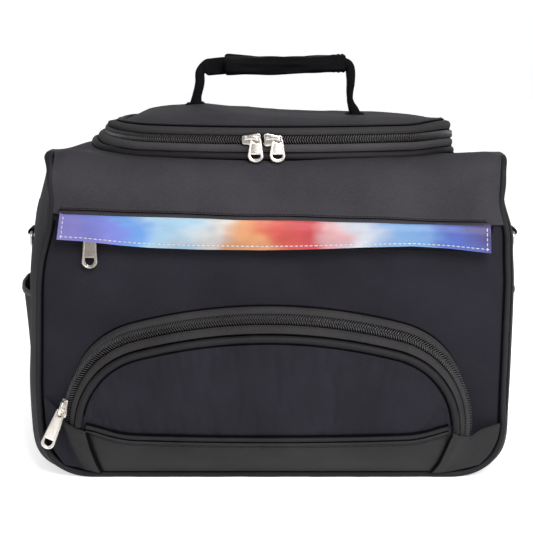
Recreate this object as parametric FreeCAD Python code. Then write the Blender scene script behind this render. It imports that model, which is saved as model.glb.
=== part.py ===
import FreeCAD, Part
import math
import os

# Soft zippered tool bag: a sewn body with a zipped lid, a carry handle, a flap over a zip pocket,
# an arched front pocket, two side pockets and two strap rings.
# X is right, Y goes from front to back, Z is up. The origin is the middle of the base, on the floor.
# Lengths are millimetres and angles are degrees.

# Body
body_base_width = 374.0
body_top_width = 360.0
body_depth = 220.0
body_height = 257.0
body_corner_radius = 46.0
side_bulge = 20.0
wall = 4.0
fold_radius = 22.0
liner_thickness = 1.0
board_thickness = 3.0
board_margin = 9.0
edge_piping_radius = 3.2
edge_piping_sink = 0.8

# Fits
overrun = 10.0
fit_gap = 0.2
moving_gap = 0.4
seam_gap = 0.1

# Zip chain, used at every zip
tape_thickness = 1.2
tape_gap = 1.0
coil_width = 3.1
coil_thickness = 2.2

# Zip slider and its bail
slider_length = 15.0
slider_nose_width = 10.0
slider_tail_width = 7.6
slider_plate = 1.6
slider_back_plate = 0.9
slider_back_length = 10.0
slider_back_width = 6.8
slider_corner_radius = 1.8
slider_post_length = 6.0
slider_post_thickness = 0.4
bail_radius = 0.95
bail_post_ahead = 3.6
bail_post_behind = 5.0
bail_bend = 1.6

# Pull tabs
pull_thickness = 1.8
pull_lift = 0.8
pull_eye_radius = 1.4
pull_eye_wall = 1.8
pull_width = 11.0
pull_neck_length = 4.5
pull_flare_length = 5.0
pull_slot_width = 6.8
pull_slot_height = 5.0
pull_slot_rim = 2.2
pull_corner_radius = 3.4
pull_recess_depth = 0.4
pull_recess_rim = 2.0
pull_recess_height = 4.0
lid_pull_length = 19.6
pocket_pull_length = 36.0

# Lid, measured on the middle of its upright zip tape
lid_width = 309.0
lid_front_set = 18.0
lid_back_set = 30.0
lid_front_radius = 320.0
lid_corner_radius = 58.0
lid_back_radius = 52.0
lid_zip_stop = 4.0
lid_piping_radius = 3.5
lid_zip_height = 17.0
lid_tape_upright = 4.4
lid_seam_height = 26.0
lid_seam_inset = 7.0
lid_seam_radius = 2.0
lid_panel = 3.0
lid_crown_height = 35.5
lid_shoulder_height = 31.5
lid_shoulder_inset = 18.0
lid_crown_inset = 39.0
lid_lining_height = 21.8
lid_lining_thickness = 1.2
lid_lining_inset = 5.6
lid_gusset_thickness = 2.0
hinge_strip_thickness = 1.2
hinge_bead_radius = 1.2
hinge_bead_gap = 0.6
lid_slider_spread = 17.0
lid_slider_middle = -8.5

# Handle
handle_width = 136.0
handle_shift = 2.0
handle_rise = 38.5
handle_thickness = 8.0
handle_depth = 18.0
handle_corner_radius = 13.0
handle_inner_radius = 2.0
grip_start = -42.0
grip_end = 59.5
grip_wall = 3.6
grip_round = 6.0
anchor_width = 20.0
anchor_depth = 30.0
anchor_height = 4.0
anchor_seat = 0.8

# Zip pocket under the flap
seam_tilt = 1.6
flap_zip_drop = 52.0
flap_zip_mouth = 14.0
flap_zip_length = 330.0
flap_zip_set = 2.0
flap_slider_inset = 22.0
hem_height = 7.0
hem_depth = 7.0
hem_round = 2.4
flap_width = 342.0
flap_height = 23.0
flap_thickness = 1.4
flap_bead_radius = 1.1
flap_lean = 7.0
flap_corner_radius = 3.0

# Arched front pocket
pocket_shift = -4.5
arch_width = 323.0
arch_spring = 47.0
arch_corner_radius = 76.0
arch_top_radius = 396.0
arch_foot = 45.0
arch_slope_inset = 23.0
arch_slope_depth = 25.0
arch_zip_depth = 9.8
face_inset = 14.0
face_thickness = 3.0
face_seam_height = 39.0
face_piping_radius = 2.4
face_piping_set = 2.6
band_thickness = 2.5
band_base_width = 276.0
band_base_depth = 3.4
gusset_thickness = 2.0
gusset_lift = 2.2
gusset_gap = 1.0
gusset_crease_run = 17.0
gusset_crease_lift = 5.0
gusset_crease_angle = 18.0
gusset_foot_angle = 50.0
pocket_slider_angle = 167.0
pocket_pull_swing = 8.0

# Side pockets
side_pocket_depth = 184.0
side_pocket_foot = 52.0
side_pocket_top = 138.0
side_pocket_swell = 12.0
side_pocket_wall = 2.0
side_binding_height = 9.0
side_binding_thickness = 2.6

# Strap loops and rings
ring_drop = 70.0
ring_inner_width = 26.0
ring_wire = 3.5
ring_side = 9.0
ring_stand_off = 4.4
loop_width = 23.0
loop_height = 30.0
loop_thickness = 1.8
loop_gap = 0.5

# Worked out from the sizes above
front_y = -body_depth / 2
back_y = body_depth / 2
deck_z = body_height
flap_zip_height = body_height - flap_zip_drop
ring_height = body_height - ring_drop
tape_half = tape_thickness / 2
tape_edge = tape_gap / 2
coil_out = tape_half + coil_thickness
plate_in = coil_out + moving_gap
plate_out = plate_in + slider_plate
pull_in = plate_out + pull_lift
pull_out = pull_in + pull_thickness
bail_axis = pull_out + moving_gap + bail_radius
pull_eye_out = pull_eye_radius + pull_eye_wall
arch_slope = math.hypot(arch_slope_inset, arch_slope_depth)
slope_in = arch_slope_inset / arch_slope
slope_deep = arch_slope_depth / arch_slope
face_back = arch_slope_depth
face_front = face_back + face_thickness
face_axis_depth = face_back + face_thickness / 2
face_axis_z = face_seam_height
flap_axis_y = front_y - hem_depth - flap_bead_radius
flap_slider_place = flap_slider_inset - flap_width / 2
flap_axis_z = flap_zip_height + flap_zip_mouth / 2 + flap_bead_radius

os.makedirs("parts", exist_ok=True)


def vec(x, y, z):
    return FreeCAD.Vector(x, y, z)


def put(name, shape):
    """Write one named piece."""
    shape.exportStep("parts/" + name + ".step")


def block(x_range, y_range, z_range):
    """A box between two values on each axis."""
    size = [high - low for low, high in (x_range, y_range, z_range)]
    return Part.makeBox(*size, vec(x_range[0], y_range[0], z_range[0]))


def rounded_loop(corners, radii):
    """A closed outline through coplanar corners, each rounded by its own radius."""
    stops = []
    for index, corner in enumerate(corners):
        radius = radii[index]
        if radius == 0:
            stops.append((corner, None, corner))
            continue
        behind = (corners[index - 1] - corner).normalize()
        ahead = (corners[(index + 1) % len(corners)] - corner).normalize()
        half = behind.getAngle(ahead) / 2
        reach = radius / math.tan(half)
        inward = (behind + ahead).normalize()
        middle = corner + inward * (radius / math.sin(half) - radius)
        stops.append((corner + behind * reach, middle, corner + ahead * reach))
    edges = []
    for index, (first, middle, last) in enumerate(stops):
        if middle is not None:
            edges.append(Part.Arc(first, middle, last).toShape())
        following = stops[(index + 1) % len(stops)][0]
        if last.distanceToPoint(following) > Part.Precision.confusion():
            edges.append(Part.makeLine(last, following))
    return Part.Wire(edges)


def loop(corners):
    """A closed outline with sharp corners."""
    return Part.makePolygon(corners + corners[:1])


def prism(outline, travel):
    """The solid that a closed outline fills as it moves along a vector."""
    return Part.Face(outline).extrude(travel)


def arc_edge(centre, radius, across, up, start, end):
    """An arc between two angles, in the plane of two directions."""
    points = []
    for angle in (start, (start + end) / 2, end):
        turn = math.radians(angle)
        points.append(centre + across * (radius * math.cos(turn)) + up * (radius * math.sin(turn)))
    return Part.Arc(*points).toShape()


def sweep(path, outline):
    """The solid that a closed outline leaves along a path of lines and arcs."""
    return path.makePipeShell([outline], True, False)


def mirrored(shape):
    """The same piece on the other side of the middle plane."""
    return shape.mirror(vec(0, 0, 0), vec(1, 0, 0))


# Body: sections across the depth, from which the panels are cut


def body_section(y, inset, swell):
    """The outline of the body at one depth, inset by a wall and swollen sideways."""
    half_base = body_base_width / 2 + swell - inset
    half_top = body_top_width / 2 + swell - inset
    foot = inset
    corners = [vec(-half_base, y, foot), vec(half_base, y, foot), vec(half_top, y, deck_z), vec(-half_top, y, deck_z)]
    radius = body_corner_radius - inset
    return rounded_loop(corners, [radius, radius, 0, 0])


def body_loft(inset, half_depth):
    """The body's volume between its front and back panels, inset by a wall."""
    sections = [body_section(-half_depth, inset, 0), body_section(0, inset, side_bulge)]
    sections.append(body_section(half_depth, inset, 0))
    return Part.makeLoft(sections, True, False)


panel_depth = body_depth / 2 - wall
body_outer = body_loft(0, panel_depth)
body_inner = body_loft(wall, panel_depth)
wide = body_base_width / 2 + side_bulge + overrun
flat_half = body_base_width / 2 - body_corner_radius


def tilted(shape):
    """Turn a piece of the front seam to the seam's slope."""
    turned = shape.copy()
    turned.rotate(vec(0, 0, flap_zip_height), vec(0, 1, 0), seam_tilt)
    return turned


def front_plate(y_from, y_to):
    """A flat plate of the body's front outline."""
    return prism(body_section(y_from, 0, 0), vec(0, y_to - y_from, 0))


mouth_low = flap_zip_height - flap_zip_mouth / 2
mouth_high = flap_zip_height + flap_zip_mouth / 2
front_depths = (front_y - overrun, front_y + wall + overrun)
above_mouth_low = tilted(block((-wide, wide), front_depths, (mouth_low, deck_z + overrun)))
below_mouth_high = tilted(block((-wide, wide), front_depths, (-overrun, mouth_high)))


def front_panel():
    return front_plate(front_y, front_y + wall).cut(above_mouth_low)


def back_panel():
    plate = front_plate(back_y - wall, back_y)
    return plate.cut(block((-wide, wide), (0, back_y + overrun), (deck_z - wall, deck_z + overrun)))


def fold_edge(inset, start, end):
    """The rounded fold from the yoke to the deck, seen from the side."""
    centre = vec(-wide, front_y + fold_radius, deck_z - fold_radius)
    return arc_edge(centre, fold_radius - inset, deep, up, start, end)


def side_panel():
    """The left side panel, with its rounded bottom corner and its top under the fold."""
    fold = fold_edge(wall, 180, 90)
    first = fold.firstVertex().Point
    last = fold.lastVertex().Point
    corners = [last, vec(-wide, back_y, last.z), vec(-wide, back_y, -overrun), vec(-wide, first.y, -overrun), first]
    outline = Part.Wire([fold] + Part.makePolygon(corners).Edges)
    keep = prism(outline, vec(wide - flat_half, 0, 0))
    return body_outer.cut(body_inner).common(keep)


def bottom_panel():
    return block((-flat_half, flat_half), (-panel_depth, panel_depth), (0, wall))


def lid_corner_centre():
    """Centre of the lid's front left corner arc, which runs into the front arc and the side."""
    x = lid_width / 2 - lid_corner_radius
    run = math.sqrt((lid_front_radius - lid_corner_radius) ** 2 - x ** 2)
    return vec(-x, lid_arc_centre().y - run, 0)


def lid_arc_centre():
    """Centre of the lid's front arc."""
    return vec(0, front_y + lid_front_set + lid_front_radius, 0)


lid_back = back_y - lid_back_set
lid_half = lid_width / 2
lid_zip_end = lid_back - lid_back_radius - lid_zip_stop
front_turn = math.degrees(math.asin(-lid_corner_centre().x / (lid_front_radius - lid_corner_radius)))
right = vec(1, 0, 0)
deep = vec(0, 1, 0)
up = vec(0, 0, 1)


def lid_front_edges(offset, z):
    """The lid outline's sides, corners and front, from the left zip end to the right one."""
    lift = vec(0, 0, z)
    corner = lid_corner_centre()
    other = vec(-corner.x, corner.y, 0)
    half = lid_half + offset
    radius = lid_corner_radius + offset
    front = lid_front_radius + offset
    edges = [Part.makeLine(vec(-half, lid_zip_end, z), vec(-half, corner.y, z))]
    edges.append(arc_edge(corner + lift, radius, right, deep, 180, 270 - front_turn))
    edges.append(arc_edge(lid_arc_centre() + lift, front, right, deep, 270 - front_turn, 270 + front_turn))
    edges.append(arc_edge(other + lift, radius, right, deep, 270 + front_turn, 360))
    edges.append(Part.makeLine(vec(half, corner.y, z), vec(half, lid_zip_end, z)))
    return edges


def lid_back_edges(offset, z):
    """The lid outline's back, from the right zip end to the left one."""
    half = lid_half + offset
    radius = lid_back_radius + offset
    centre_x = lid_half - lid_back_radius
    centre_y = lid_back - lid_back_radius
    edges = [Part.makeLine(vec(half, lid_zip_end, z), vec(half, centre_y, z))]
    edges.append(arc_edge(vec(centre_x, centre_y, z), radius, right, deep, 0, 90))
    edges.append(Part.makeLine(vec(centre_x, lid_back + offset, z), vec(-centre_x, lid_back + offset, z)))
    edges.append(arc_edge(vec(-centre_x, centre_y, z), radius, right, deep, 90, 180))
    edges.append(Part.makeLine(vec(-half, centre_y, z), vec(-half, lid_zip_end, z)))
    return edges


def lid_outline(offset, height):
    z = deck_z + height
    return Part.Wire(lid_front_edges(offset, z) + lid_back_edges(offset, z))


def lid_slab(offset, low, high):
    """A plate of the lid's outline between two heights above the deck."""
    return prism(lid_outline(offset, low), vec(0, 0, high - low))


def lid_front_strip(points):
    """Sweep a section of (offset, height) points along the zip."""
    corners = [vec(-lid_half - offset, lid_zip_end, deck_z + height) for offset, height in points]
    return sweep(Part.Wire(lid_front_edges(0, deck_z)), loop(corners))


def lid_back_strip(points):
    """Sweep a section of (offset, height) points along the lid's back."""
    corners = [vec(lid_half + offset, lid_zip_end, deck_z + height) for offset, height in points]
    return sweep(Part.Wire(lid_back_edges(0, deck_z)), loop(corners))


def lid_tube(offset, height, radius):
    """A round piping all the way round the lid."""
    z = deck_z + height
    path = Part.Wire(lid_front_edges(offset, z) + lid_back_edges(offset, z))
    ring = Part.makeCircle(radius, vec(-lid_half - offset, lid_zip_end, z), deep)
    return sweep(path, Part.Wire([ring]))


def shoulder_panel():
    """Yoke, rounded fold and deck in one piece, with the lid's mouth cut through."""
    low = mouth_low
    outer = fold_edge(0, 180, 90)
    inner = fold_edge(wall, 90, 180)
    back_corners = [outer.lastVertex().Point, vec(-wide, back_y, deck_z), vec(-wide, back_y, deck_z - wall)]
    back_corners.append(inner.firstVertex().Point)
    foot_corners = [inner.lastVertex().Point, vec(-wide, front_y + wall, low), vec(-wide, front_y, low)]
    foot_corners.append(outer.firstVertex().Point)
    edges = [outer] + Part.makePolygon(back_corners).Edges + [inner] + Part.makePolygon(foot_corners).Edges
    sheet = prism(Part.Wire(edges), vec(wide * 2, 0, 0))
    plan = body_outer.fuse(front_plate(front_y, front_y + wall)).fuse(front_plate(back_y - wall, back_y))
    hole = lid_slab(-lid_piping_radius - seam_gap, -wall - overrun, overrun)
    return sheet.common(plan).cut(hole).cut(below_mouth_high)


def yoke_hem():
    """The rolled edge along the foot of the yoke, over the zip."""
    half = flap_width / 2
    low = mouth_high
    corners = [vec(-half, front_y, low), vec(-half, front_y, low + hem_height)]
    corners += [vec(-half, front_y - hem_depth, low + hem_height), vec(-half, front_y - hem_depth, low)]
    return tilted(prism(rounded_loop(corners, [0, 0, hem_round, hem_round]), vec(half * 2, 0, 0)))


def liner():
    inset = wall + fit_gap
    skin = inset + liner_thickness
    depth = panel_depth - fit_gap
    shell = body_loft(inset, depth).cut(body_loft(skin, depth - liner_thickness))
    top = deck_z - fold_radius - wall
    return shell.common(block((-wide, wide), (front_y, back_y), (0, top)))


def base_board():
    low = wall + fit_gap + liner_thickness
    half = flat_half - board_margin
    depth = panel_depth - board_margin
    return block((-half, half), (-depth, depth), (low, low + board_thickness))


def edge_piping():
    """A half round bead along the sides and bottom of the front face."""
    y = front_y - edge_piping_sink
    inset = edge_piping_radius
    top = deck_z - fold_radius
    outline = body_section(y, inset, 0).Edges
    path = Part.Wire([edge for edge in outline if edge.CenterOfMass.z < top])
    rail = sweep(path, Part.Wire([Part.makeCircle(edge_piping_radius, *path_start(path))]))
    return rail.common(block((-wide, wide), (front_y - overrun, front_y), (0, top)))


def path_start(path):
    """Start point and direction of a path."""
    edge = path.OrderedEdges[0]
    point = path.OrderedVertexes[0].Point
    direction = edge.tangentAt(edge.FirstParameter)
    return point, direction


# Zip hardware, made about the zip's parting line: X along the zip, Y across it, Z out of the cloth


def slider_outline(length, nose, nose_width, tail_width, z):
    """A slider plate's outline, with its nose towards +X or -X."""
    tail_x = -nose * length / 2
    nose_x = nose * length / 2
    corners = [vec(tail_x, -tail_width / 2, z), vec(nose_x, -nose_width / 2, z)]
    corners += [vec(nose_x, nose_width / 2, z), vec(tail_x, tail_width / 2, z)]
    return rounded_loop(corners, [slider_corner_radius] * 4)


def bail():
    """The arched wire that holds the pull."""
    foot = plate_out - slider_plate / 2
    bend = bail_bend
    left = -bail_post_behind
    far = bail_post_ahead
    edges = [Part.makeLine(vec(far, 0, foot), vec(far, 0, bail_axis - bend))]
    edges.append(arc_edge(vec(far - bend, 0, bail_axis - bend), bend, right, up, 0, 90))
    edges.append(Part.makeLine(vec(far - bend, 0, bail_axis), vec(left + bend, 0, bail_axis)))
    edges.append(arc_edge(vec(left + bend, 0, bail_axis - bend), bend, right, up, 90, 180))
    edges.append(Part.makeLine(vec(left, 0, bail_axis - bend), vec(left, 0, foot)))
    ring = Part.makeCircle(bail_radius, vec(far, 0, foot), up)
    return sweep(Part.Wire(edges), Part.Wire([ring]))


def slider(nose, back_low_share):
    """Front plate, post, back plate and bail. The share says how much of the back plate's near half is kept."""
    face = slider_outline(slider_length, nose, slider_nose_width, slider_tail_width, plate_in)
    front = prism(face, vec(0, 0, slider_plate))
    back_top = -tape_half - moving_gap
    back_low = back_top - slider_back_plate
    rear = slider_outline(slider_back_length, nose, slider_back_width, slider_back_width, back_low)
    keep_from = -slider_back_width / 2 * back_low_share - slider_post_thickness / 2
    half = slider_length
    keep = block((-half, half), (keep_from, half), (back_low, back_top))
    back = prism(rear, vec(0, 0, slider_back_plate)).common(keep)
    post_half = slider_post_length / 2
    thick = slider_post_thickness / 2
    post = block((-post_half, post_half), (-thick, thick), (back_low, plate_in + slider_plate / 2))
    return front.fuse([post, back, bail()]).removeSplitter()


def pull(length):
    """A pull tab hung by its eye from the origin, lying along -Y."""
    eye = pull_eye_out
    half = pull_width / 2
    flare = pull_neck_length + pull_flare_length
    foot = eye - length
    points = [(-eye, eye), (eye, eye), (eye, -pull_neck_length), (half, -flare)]
    points += [(half, foot), (-half, foot), (-half, -flare), (-eye, -pull_neck_length)]
    corners = [vec(x, y, pull_in) for x, y in points]
    top = eye - fit_gap
    low = pull_corner_radius
    tab = prism(rounded_loop(corners, [top, top, eye, eye, low, low, eye, eye]), vec(0, 0, pull_thickness))
    hole = Part.makeCylinder(pull_eye_radius, pull_thickness, vec(0, 0, pull_in))
    slot_low = foot + pull_slot_rim
    slot_half = pull_slot_width / 2
    slot_top = slot_low + pull_slot_height
    ends = [vec(-slot_half, slot_low, pull_in), vec(slot_half, slot_low, pull_in)]
    ends += [vec(slot_half, slot_top, pull_in), vec(-slot_half, slot_top, pull_in)]
    round_end = slot_half - fit_gap
    slot = prism(rounded_loop(ends, [round_end, round_end, fit_gap, fit_gap]), vec(0, 0, pull_thickness))
    recess_top = slot_top + pull_slot_rim + pull_recess_height
    recess_half = half - pull_recess_rim
    floor = pull_out - pull_recess_depth
    recess = block((-recess_half, recess_half), (slot_top + pull_slot_rim, recess_top), (floor, pull_out))
    return tab.cut([hole, slot, recess])


def hung_pull(length, turn):
    """A pull on the slider's ahead post, turned about it."""
    tab = pull(length)
    tab.rotate(vec(0, 0, 0), up, turn)
    tab.translate(vec(bail_post_ahead, 0, 0))
    return tab


def seat(shape, origin, along, across):
    """Put a zip piece with its own axes at a place on the bag."""
    out = along.cross(across)
    rows = [along.x, across.x, out.x, origin.x, along.y, across.y, out.y, origin.y]
    rows += [along.z, across.z, out.z, origin.z, 0, 0, 0, 1]
    placed = shape.copy()
    placed.Placement = FreeCAD.Placement(FreeCAD.Matrix(*rows)).multiply(shape.Placement)
    return placed


# Lid


def lid_zip_tape_lower():
    low = lid_piping_radius * 2 + seam_gap * 2
    high = lid_zip_height - tape_edge
    half = tape_half
    return lid_front_strip([(-half, low), (half, low), (half, high), (-half, high)])


def lid_zip_coil(low):
    high = low + coil_width
    return lid_front_strip([(tape_half, low), (coil_out, low), (coil_out, high), (tape_half, high)])


def lid_wall_section(low, half):
    """Section of the lid's wall: upright at the zip, then leaning in to the top seam."""
    knee = lid_zip_height + lid_tape_upright
    top = lid_seam_height - lid_seam_radius
    inset = -lid_seam_inset + lid_seam_radius / 2
    lean = half * 2
    return [(-half, low), (half, low), (half, knee), (inset + half, top), (inset - half, top), (-half, knee - lean / 2)]


def lid_zip_tape_upper():
    return lid_front_strip(lid_wall_section(lid_zip_height + tape_edge, tape_half))


def lid_back_gusset():
    low = lid_zip_height + hinge_bead_radius + hinge_bead_gap
    return lid_back_strip(lid_wall_section(low, lid_gusset_thickness / 2))


def lid_hinge_strip():
    """The cloth hinge on the bag: a strip round the lid's back with a bead on the hinge line."""
    low = lid_piping_radius * 2 + seam_gap * 2
    half = hinge_strip_thickness / 2
    high = lid_zip_height - tape_edge
    strip = lid_back_strip([(-half, low), (half, low), (half, high), (-half, high)])
    run = lid_half - lid_back_radius
    bead = Part.makeCylinder(hinge_bead_radius, run * 2, vec(-run, lid_back, deck_z + lid_zip_height), right)
    return strip.fuse(bead).removeSplitter()


def lid_dome(inset, drop, foot):
    """The lid's crown as a smooth rise over three outlines."""
    rim = lid_seam_inset + lid_seam_radius + seam_gap + inset
    steps = [(rim, foot), (lid_shoulder_inset + inset, lid_shoulder_height - drop)]
    steps.append((lid_crown_inset + inset, lid_crown_height - drop))
    return Part.makeLoft([lid_outline(-offset, height) for offset, height in steps], True, False)


def lid_top_panel():
    rim = lid_seam_height - lid_seam_radius / 2
    return lid_dome(0, 0, rim).cut(lid_dome(lid_panel, lid_panel, rim))


def lid_lining():
    return lid_slab(-lid_lining_inset, lid_lining_height, lid_lining_height + lid_lining_thickness)


def lid_slider_seat(x, shape):
    """Put a zip piece on the lid's front arc at a place across."""
    centre = lid_arc_centre() + vec(0, 0, deck_z + lid_zip_height)
    out = vec(x, -math.sqrt(lid_front_radius ** 2 - x ** 2), 0).normalize()
    return seat(shape, centre + out * lid_front_radius, up.cross(out), up)


# Handle: a strap in a U with a sleeve round its top, rocking on two anchors on the lid

anchor_z = deck_z + lid_crown_height + seam_gap
handle_radius = handle_depth / 2
handle_axis_z = anchor_z + anchor_height - anchor_seat + moving_gap + handle_radius
handle_y = (front_y + lid_front_set + lid_back) / 2
handle_top = handle_axis_z + handle_rise - handle_radius
handle_left = handle_shift - handle_width / 2
handle_right = handle_shift + handle_width / 2


def handle_strap():
    low = handle_axis_z - handle_radius
    outer = [vec(handle_left, 0, low), vec(handle_right, 0, low)]
    outer += [vec(handle_right, 0, handle_top), vec(handle_left, 0, handle_top)]
    bend = handle_corner_radius
    solid = prism(rounded_loop(outer, [0, 0, bend, bend]), vec(0, handle_depth, 0))
    left = handle_left + handle_thickness
    far = handle_right - handle_thickness
    top = handle_top - handle_thickness
    inner = [vec(left, 0, low), vec(far, 0, low), vec(far, 0, top), vec(left, 0, top)]
    gap = prism(rounded_loop(inner, [0, 0, handle_inner_radius, handle_inner_radius]), vec(0, handle_depth, 0))
    strap = solid.cut(gap)
    strap.translate(vec(0, handle_y - handle_radius, 0))
    leg = block((handle_left, handle_right), (handle_y - handle_radius, handle_y + handle_radius), (low, handle_axis_z))
    pivot = Part.makeCylinder(handle_radius, handle_width, vec(handle_left, handle_y, handle_axis_z), right)
    return strap.cut(leg.cut(pivot))


def handle_grip():
    reach = handle_radius + grip_wall
    low = handle_top - handle_thickness - grip_wall
    high = handle_top + grip_wall
    corners = [vec(grip_start, handle_y - reach, low), vec(grip_start, handle_y + reach, low)]
    corners += [vec(grip_start, handle_y + reach, high), vec(grip_start, handle_y - reach, high)]
    sleeve = prism(rounded_loop(corners, [grip_round] * 4), vec(grip_end - grip_start, 0, 0))
    depth = (handle_y - handle_radius - fit_gap, handle_y + handle_radius + fit_gap)
    height = (handle_top - handle_thickness - fit_gap, handle_top + fit_gap)
    return sleeve.cut(block((grip_start, grip_end), depth, height))


def handle_anchor(x):
    """A sewn pad on the lid with a shallow seat for the strap's round foot."""
    half = anchor_width / 2
    depth = anchor_depth / 2
    pad = block((x - half, x + half), (handle_y - depth, handle_y + depth), (anchor_z, anchor_z + anchor_height))
    seat_radius = handle_radius + moving_gap
    foot = Part.makeCylinder(seat_radius, anchor_width, vec(x - half, handle_y, handle_axis_z), right)
    return pad.cut(foot)


# Zip pocket under the flap

flap_zip_y = front_y + flap_zip_set


def flap_zip_strip(low, high, y_range, length):
    half = length / 2
    return tilted(block((-half, half), y_range, (low, high)))


def flap_zip_tapes():
    y_range = (flap_zip_y - tape_half, flap_zip_y + tape_half)
    plan = front_plate(front_y, front_y + wall)
    lower = flap_zip_strip(mouth_low, flap_zip_height - tape_edge, y_range, wide * 2)
    upper = flap_zip_strip(flap_zip_height + tape_edge, mouth_high, y_range, wide * 2)
    return Part.makeCompound([lower.common(plan), upper.common(plan)])


def flap_zip_coils():
    y_range = (flap_zip_y - coil_out, flap_zip_y - tape_half)
    low = flap_zip_height - tape_edge
    high = flap_zip_height + tape_edge
    lower = flap_zip_strip(low - coil_width, low, y_range, flap_zip_length)
    upper = flap_zip_strip(high, high + coil_width, y_range, flap_zip_length)
    return Part.makeCompound([lower, upper])


def flap_seat(shape):
    """Put a zip piece on the flap's zip."""
    origin = vec(flap_slider_place, flap_zip_y, flap_zip_height)
    return tilted(seat(shape, origin, right, up))


def zip_flap():
    """A hanging strip with a rolled top edge on its lifting line."""
    half = flap_width / 2
    bead = Part.makeCylinder(flap_bead_radius, flap_width, vec(-half, flap_axis_y, flap_axis_z), right)
    y = flap_axis_y - flap_thickness / 2
    low = flap_axis_z - flap_height
    corners = [vec(-half, y, low), vec(half, y, low), vec(half, y, flap_axis_z), vec(-half, y, flap_axis_z)]
    round_end = flap_corner_radius
    strip = prism(rounded_loop(corners, [round_end, round_end, 0, 0]), vec(0, flap_thickness, 0))
    strip.rotate(vec(0, flap_axis_y, flap_axis_z), right, -flap_lean)
    return tilted(bead.fuse(strip).removeSplitter())


# Arched front pocket: depth is measured out of the front face, inset towards the middle of the arch

arch_half = arch_width / 2
arch_corner_x = arch_half - arch_corner_radius
arch_run = arch_top_radius - arch_corner_radius
arch_top_z = arch_spring - math.sqrt(arch_run ** 2 - arch_corner_x ** 2)
arch_turn = math.degrees(math.asin(arch_corner_x / arch_run))


def arch_edges(inset, depth, foot):
    """The arch from its left foot over the top to its right foot."""
    y = front_y - depth
    half = arch_half - inset
    radius = arch_corner_radius - inset
    left = vec(pocket_shift - half, y, foot)
    far = vec(pocket_shift + half, y, foot)
    low = vec(pocket_shift - arch_corner_x, y, arch_spring)
    high = vec(pocket_shift + arch_corner_x, y, arch_spring)
    top = vec(pocket_shift, y, arch_top_z)
    edges = [Part.makeLine(left, vec(left.x, y, arch_spring))]
    edges.append(arc_edge(low, radius, right, up, 180, 90 + arch_turn))
    edges.append(arc_edge(top, arch_top_radius - inset, right, up, 90 + arch_turn, 90 - arch_turn))
    edges.append(arc_edge(high, radius, right, up, 90 - arch_turn, 0))
    edges.append(Part.makeLine(vec(far.x, y, arch_spring), far))
    return edges


def arch_place(run, lift):
    """Inset and depth of a point on the sloping zip: run along the slope, lift out of it."""
    inset = run * slope_in - lift * slope_deep
    depth = arch_zip_depth + run * slope_deep + lift * slope_in
    return inset, depth


def arch_strip(points):
    """Sweep a section of (inset, depth) points along the arch."""
    x = pocket_shift - arch_half
    corners = [vec(x + inset, front_y - depth, arch_foot) for inset, depth in points]
    return sweep(Part.Wire(arch_edges(0, 0, arch_foot)), loop(corners))


def arch_slope_strip(run_range, lift_range):
    """A flat band on the sloping zip."""
    first, last = run_range
    low, high = lift_range
    spots = [(first, low), (last, low), (last, high), (first, high)]
    return arch_strip([arch_place(run, lift) for run, lift in spots])


def pocket_tape_outer():
    start = -(arch_zip_depth - tape_half * slope_in) / slope_deep
    return arch_slope_strip((start, -tape_edge), (-tape_half, tape_half))


def pocket_tape_inner():
    end = (face_back - arch_zip_depth - tape_half * slope_in) / slope_deep
    return arch_slope_strip((tape_edge, end), (-tape_half, tape_half))


def pocket_coil_outer():
    return arch_slope_strip((-tape_edge - coil_width, -tape_edge), (tape_half, coil_out))


def pocket_coil_inner():
    return arch_slope_strip((tape_edge, tape_edge + coil_width), (tape_half, coil_out))


def pocket_face():
    """The pocket's front, with a round lower edge on its folding line."""
    y = front_y - face_back
    edges = arch_edges(face_inset, face_back, face_axis_z)
    start = edges[0].firstVertex().Point
    end = edges[-1].lastVertex().Point
    plate = prism(Part.Wire(edges + [Part.makeLine(end, start)]), vec(0, -face_thickness, 0))
    axis = vec(start.x, y - face_thickness / 2, face_axis_z)
    roll = Part.makeCylinder(face_thickness / 2, end.x - start.x, axis, right)
    return plate.fuse(roll).removeSplitter()


def pocket_face_piping():
    """A half round bead round the arched edge of the pocket's front."""
    inset = face_inset + face_piping_radius + face_piping_set
    path = Part.Wire(arch_edges(inset, face_front, arch_foot))
    start, direction = path_start(path)
    rail = sweep(path, Part.Wire([Part.makeCircle(face_piping_radius, start, direction)]))
    y = front_y - face_front
    return rail.common(block((-wide, wide), (y - overrun, y), (0, deck_z)))


band_top_z = face_axis_z - face_thickness / 2 - moving_gap
band_top_depth = face_axis_depth + band_thickness / 2
band_foot_z = edge_piping_radius * 2 + moving_gap
band_half_top = arch_half - face_inset
band_half_base = band_base_width / 2


def front_point(x, depth, z):
    return vec(pocket_shift + x, front_y - depth, z)


def slab(points, thickness):
    """A flat sheet with some thickness behind its outer face."""
    return prism(loop(points), vec(0, thickness, 0))


def pocket_bottom_band():
    top = (band_top_depth, band_top_z)
    foot = (band_base_depth, band_foot_z)
    points = [front_point(-band_half_top, *top), front_point(band_half_top, *top)]
    points += [front_point(band_half_base, *foot), front_point(-band_half_base, *foot)]
    return slab(points, band_thickness)


def corner_point(side, angle):
    """A point beside the piping, on the body's rounded bottom corner."""
    reach = body_corner_radius - edge_piping_radius * 2 - gusset_gap
    turn = math.radians(angle)
    x = side * (flat_half + reach * math.sin(turn))
    return vec(x, front_y - gusset_lift, body_corner_radius - reach * math.cos(turn))


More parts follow.
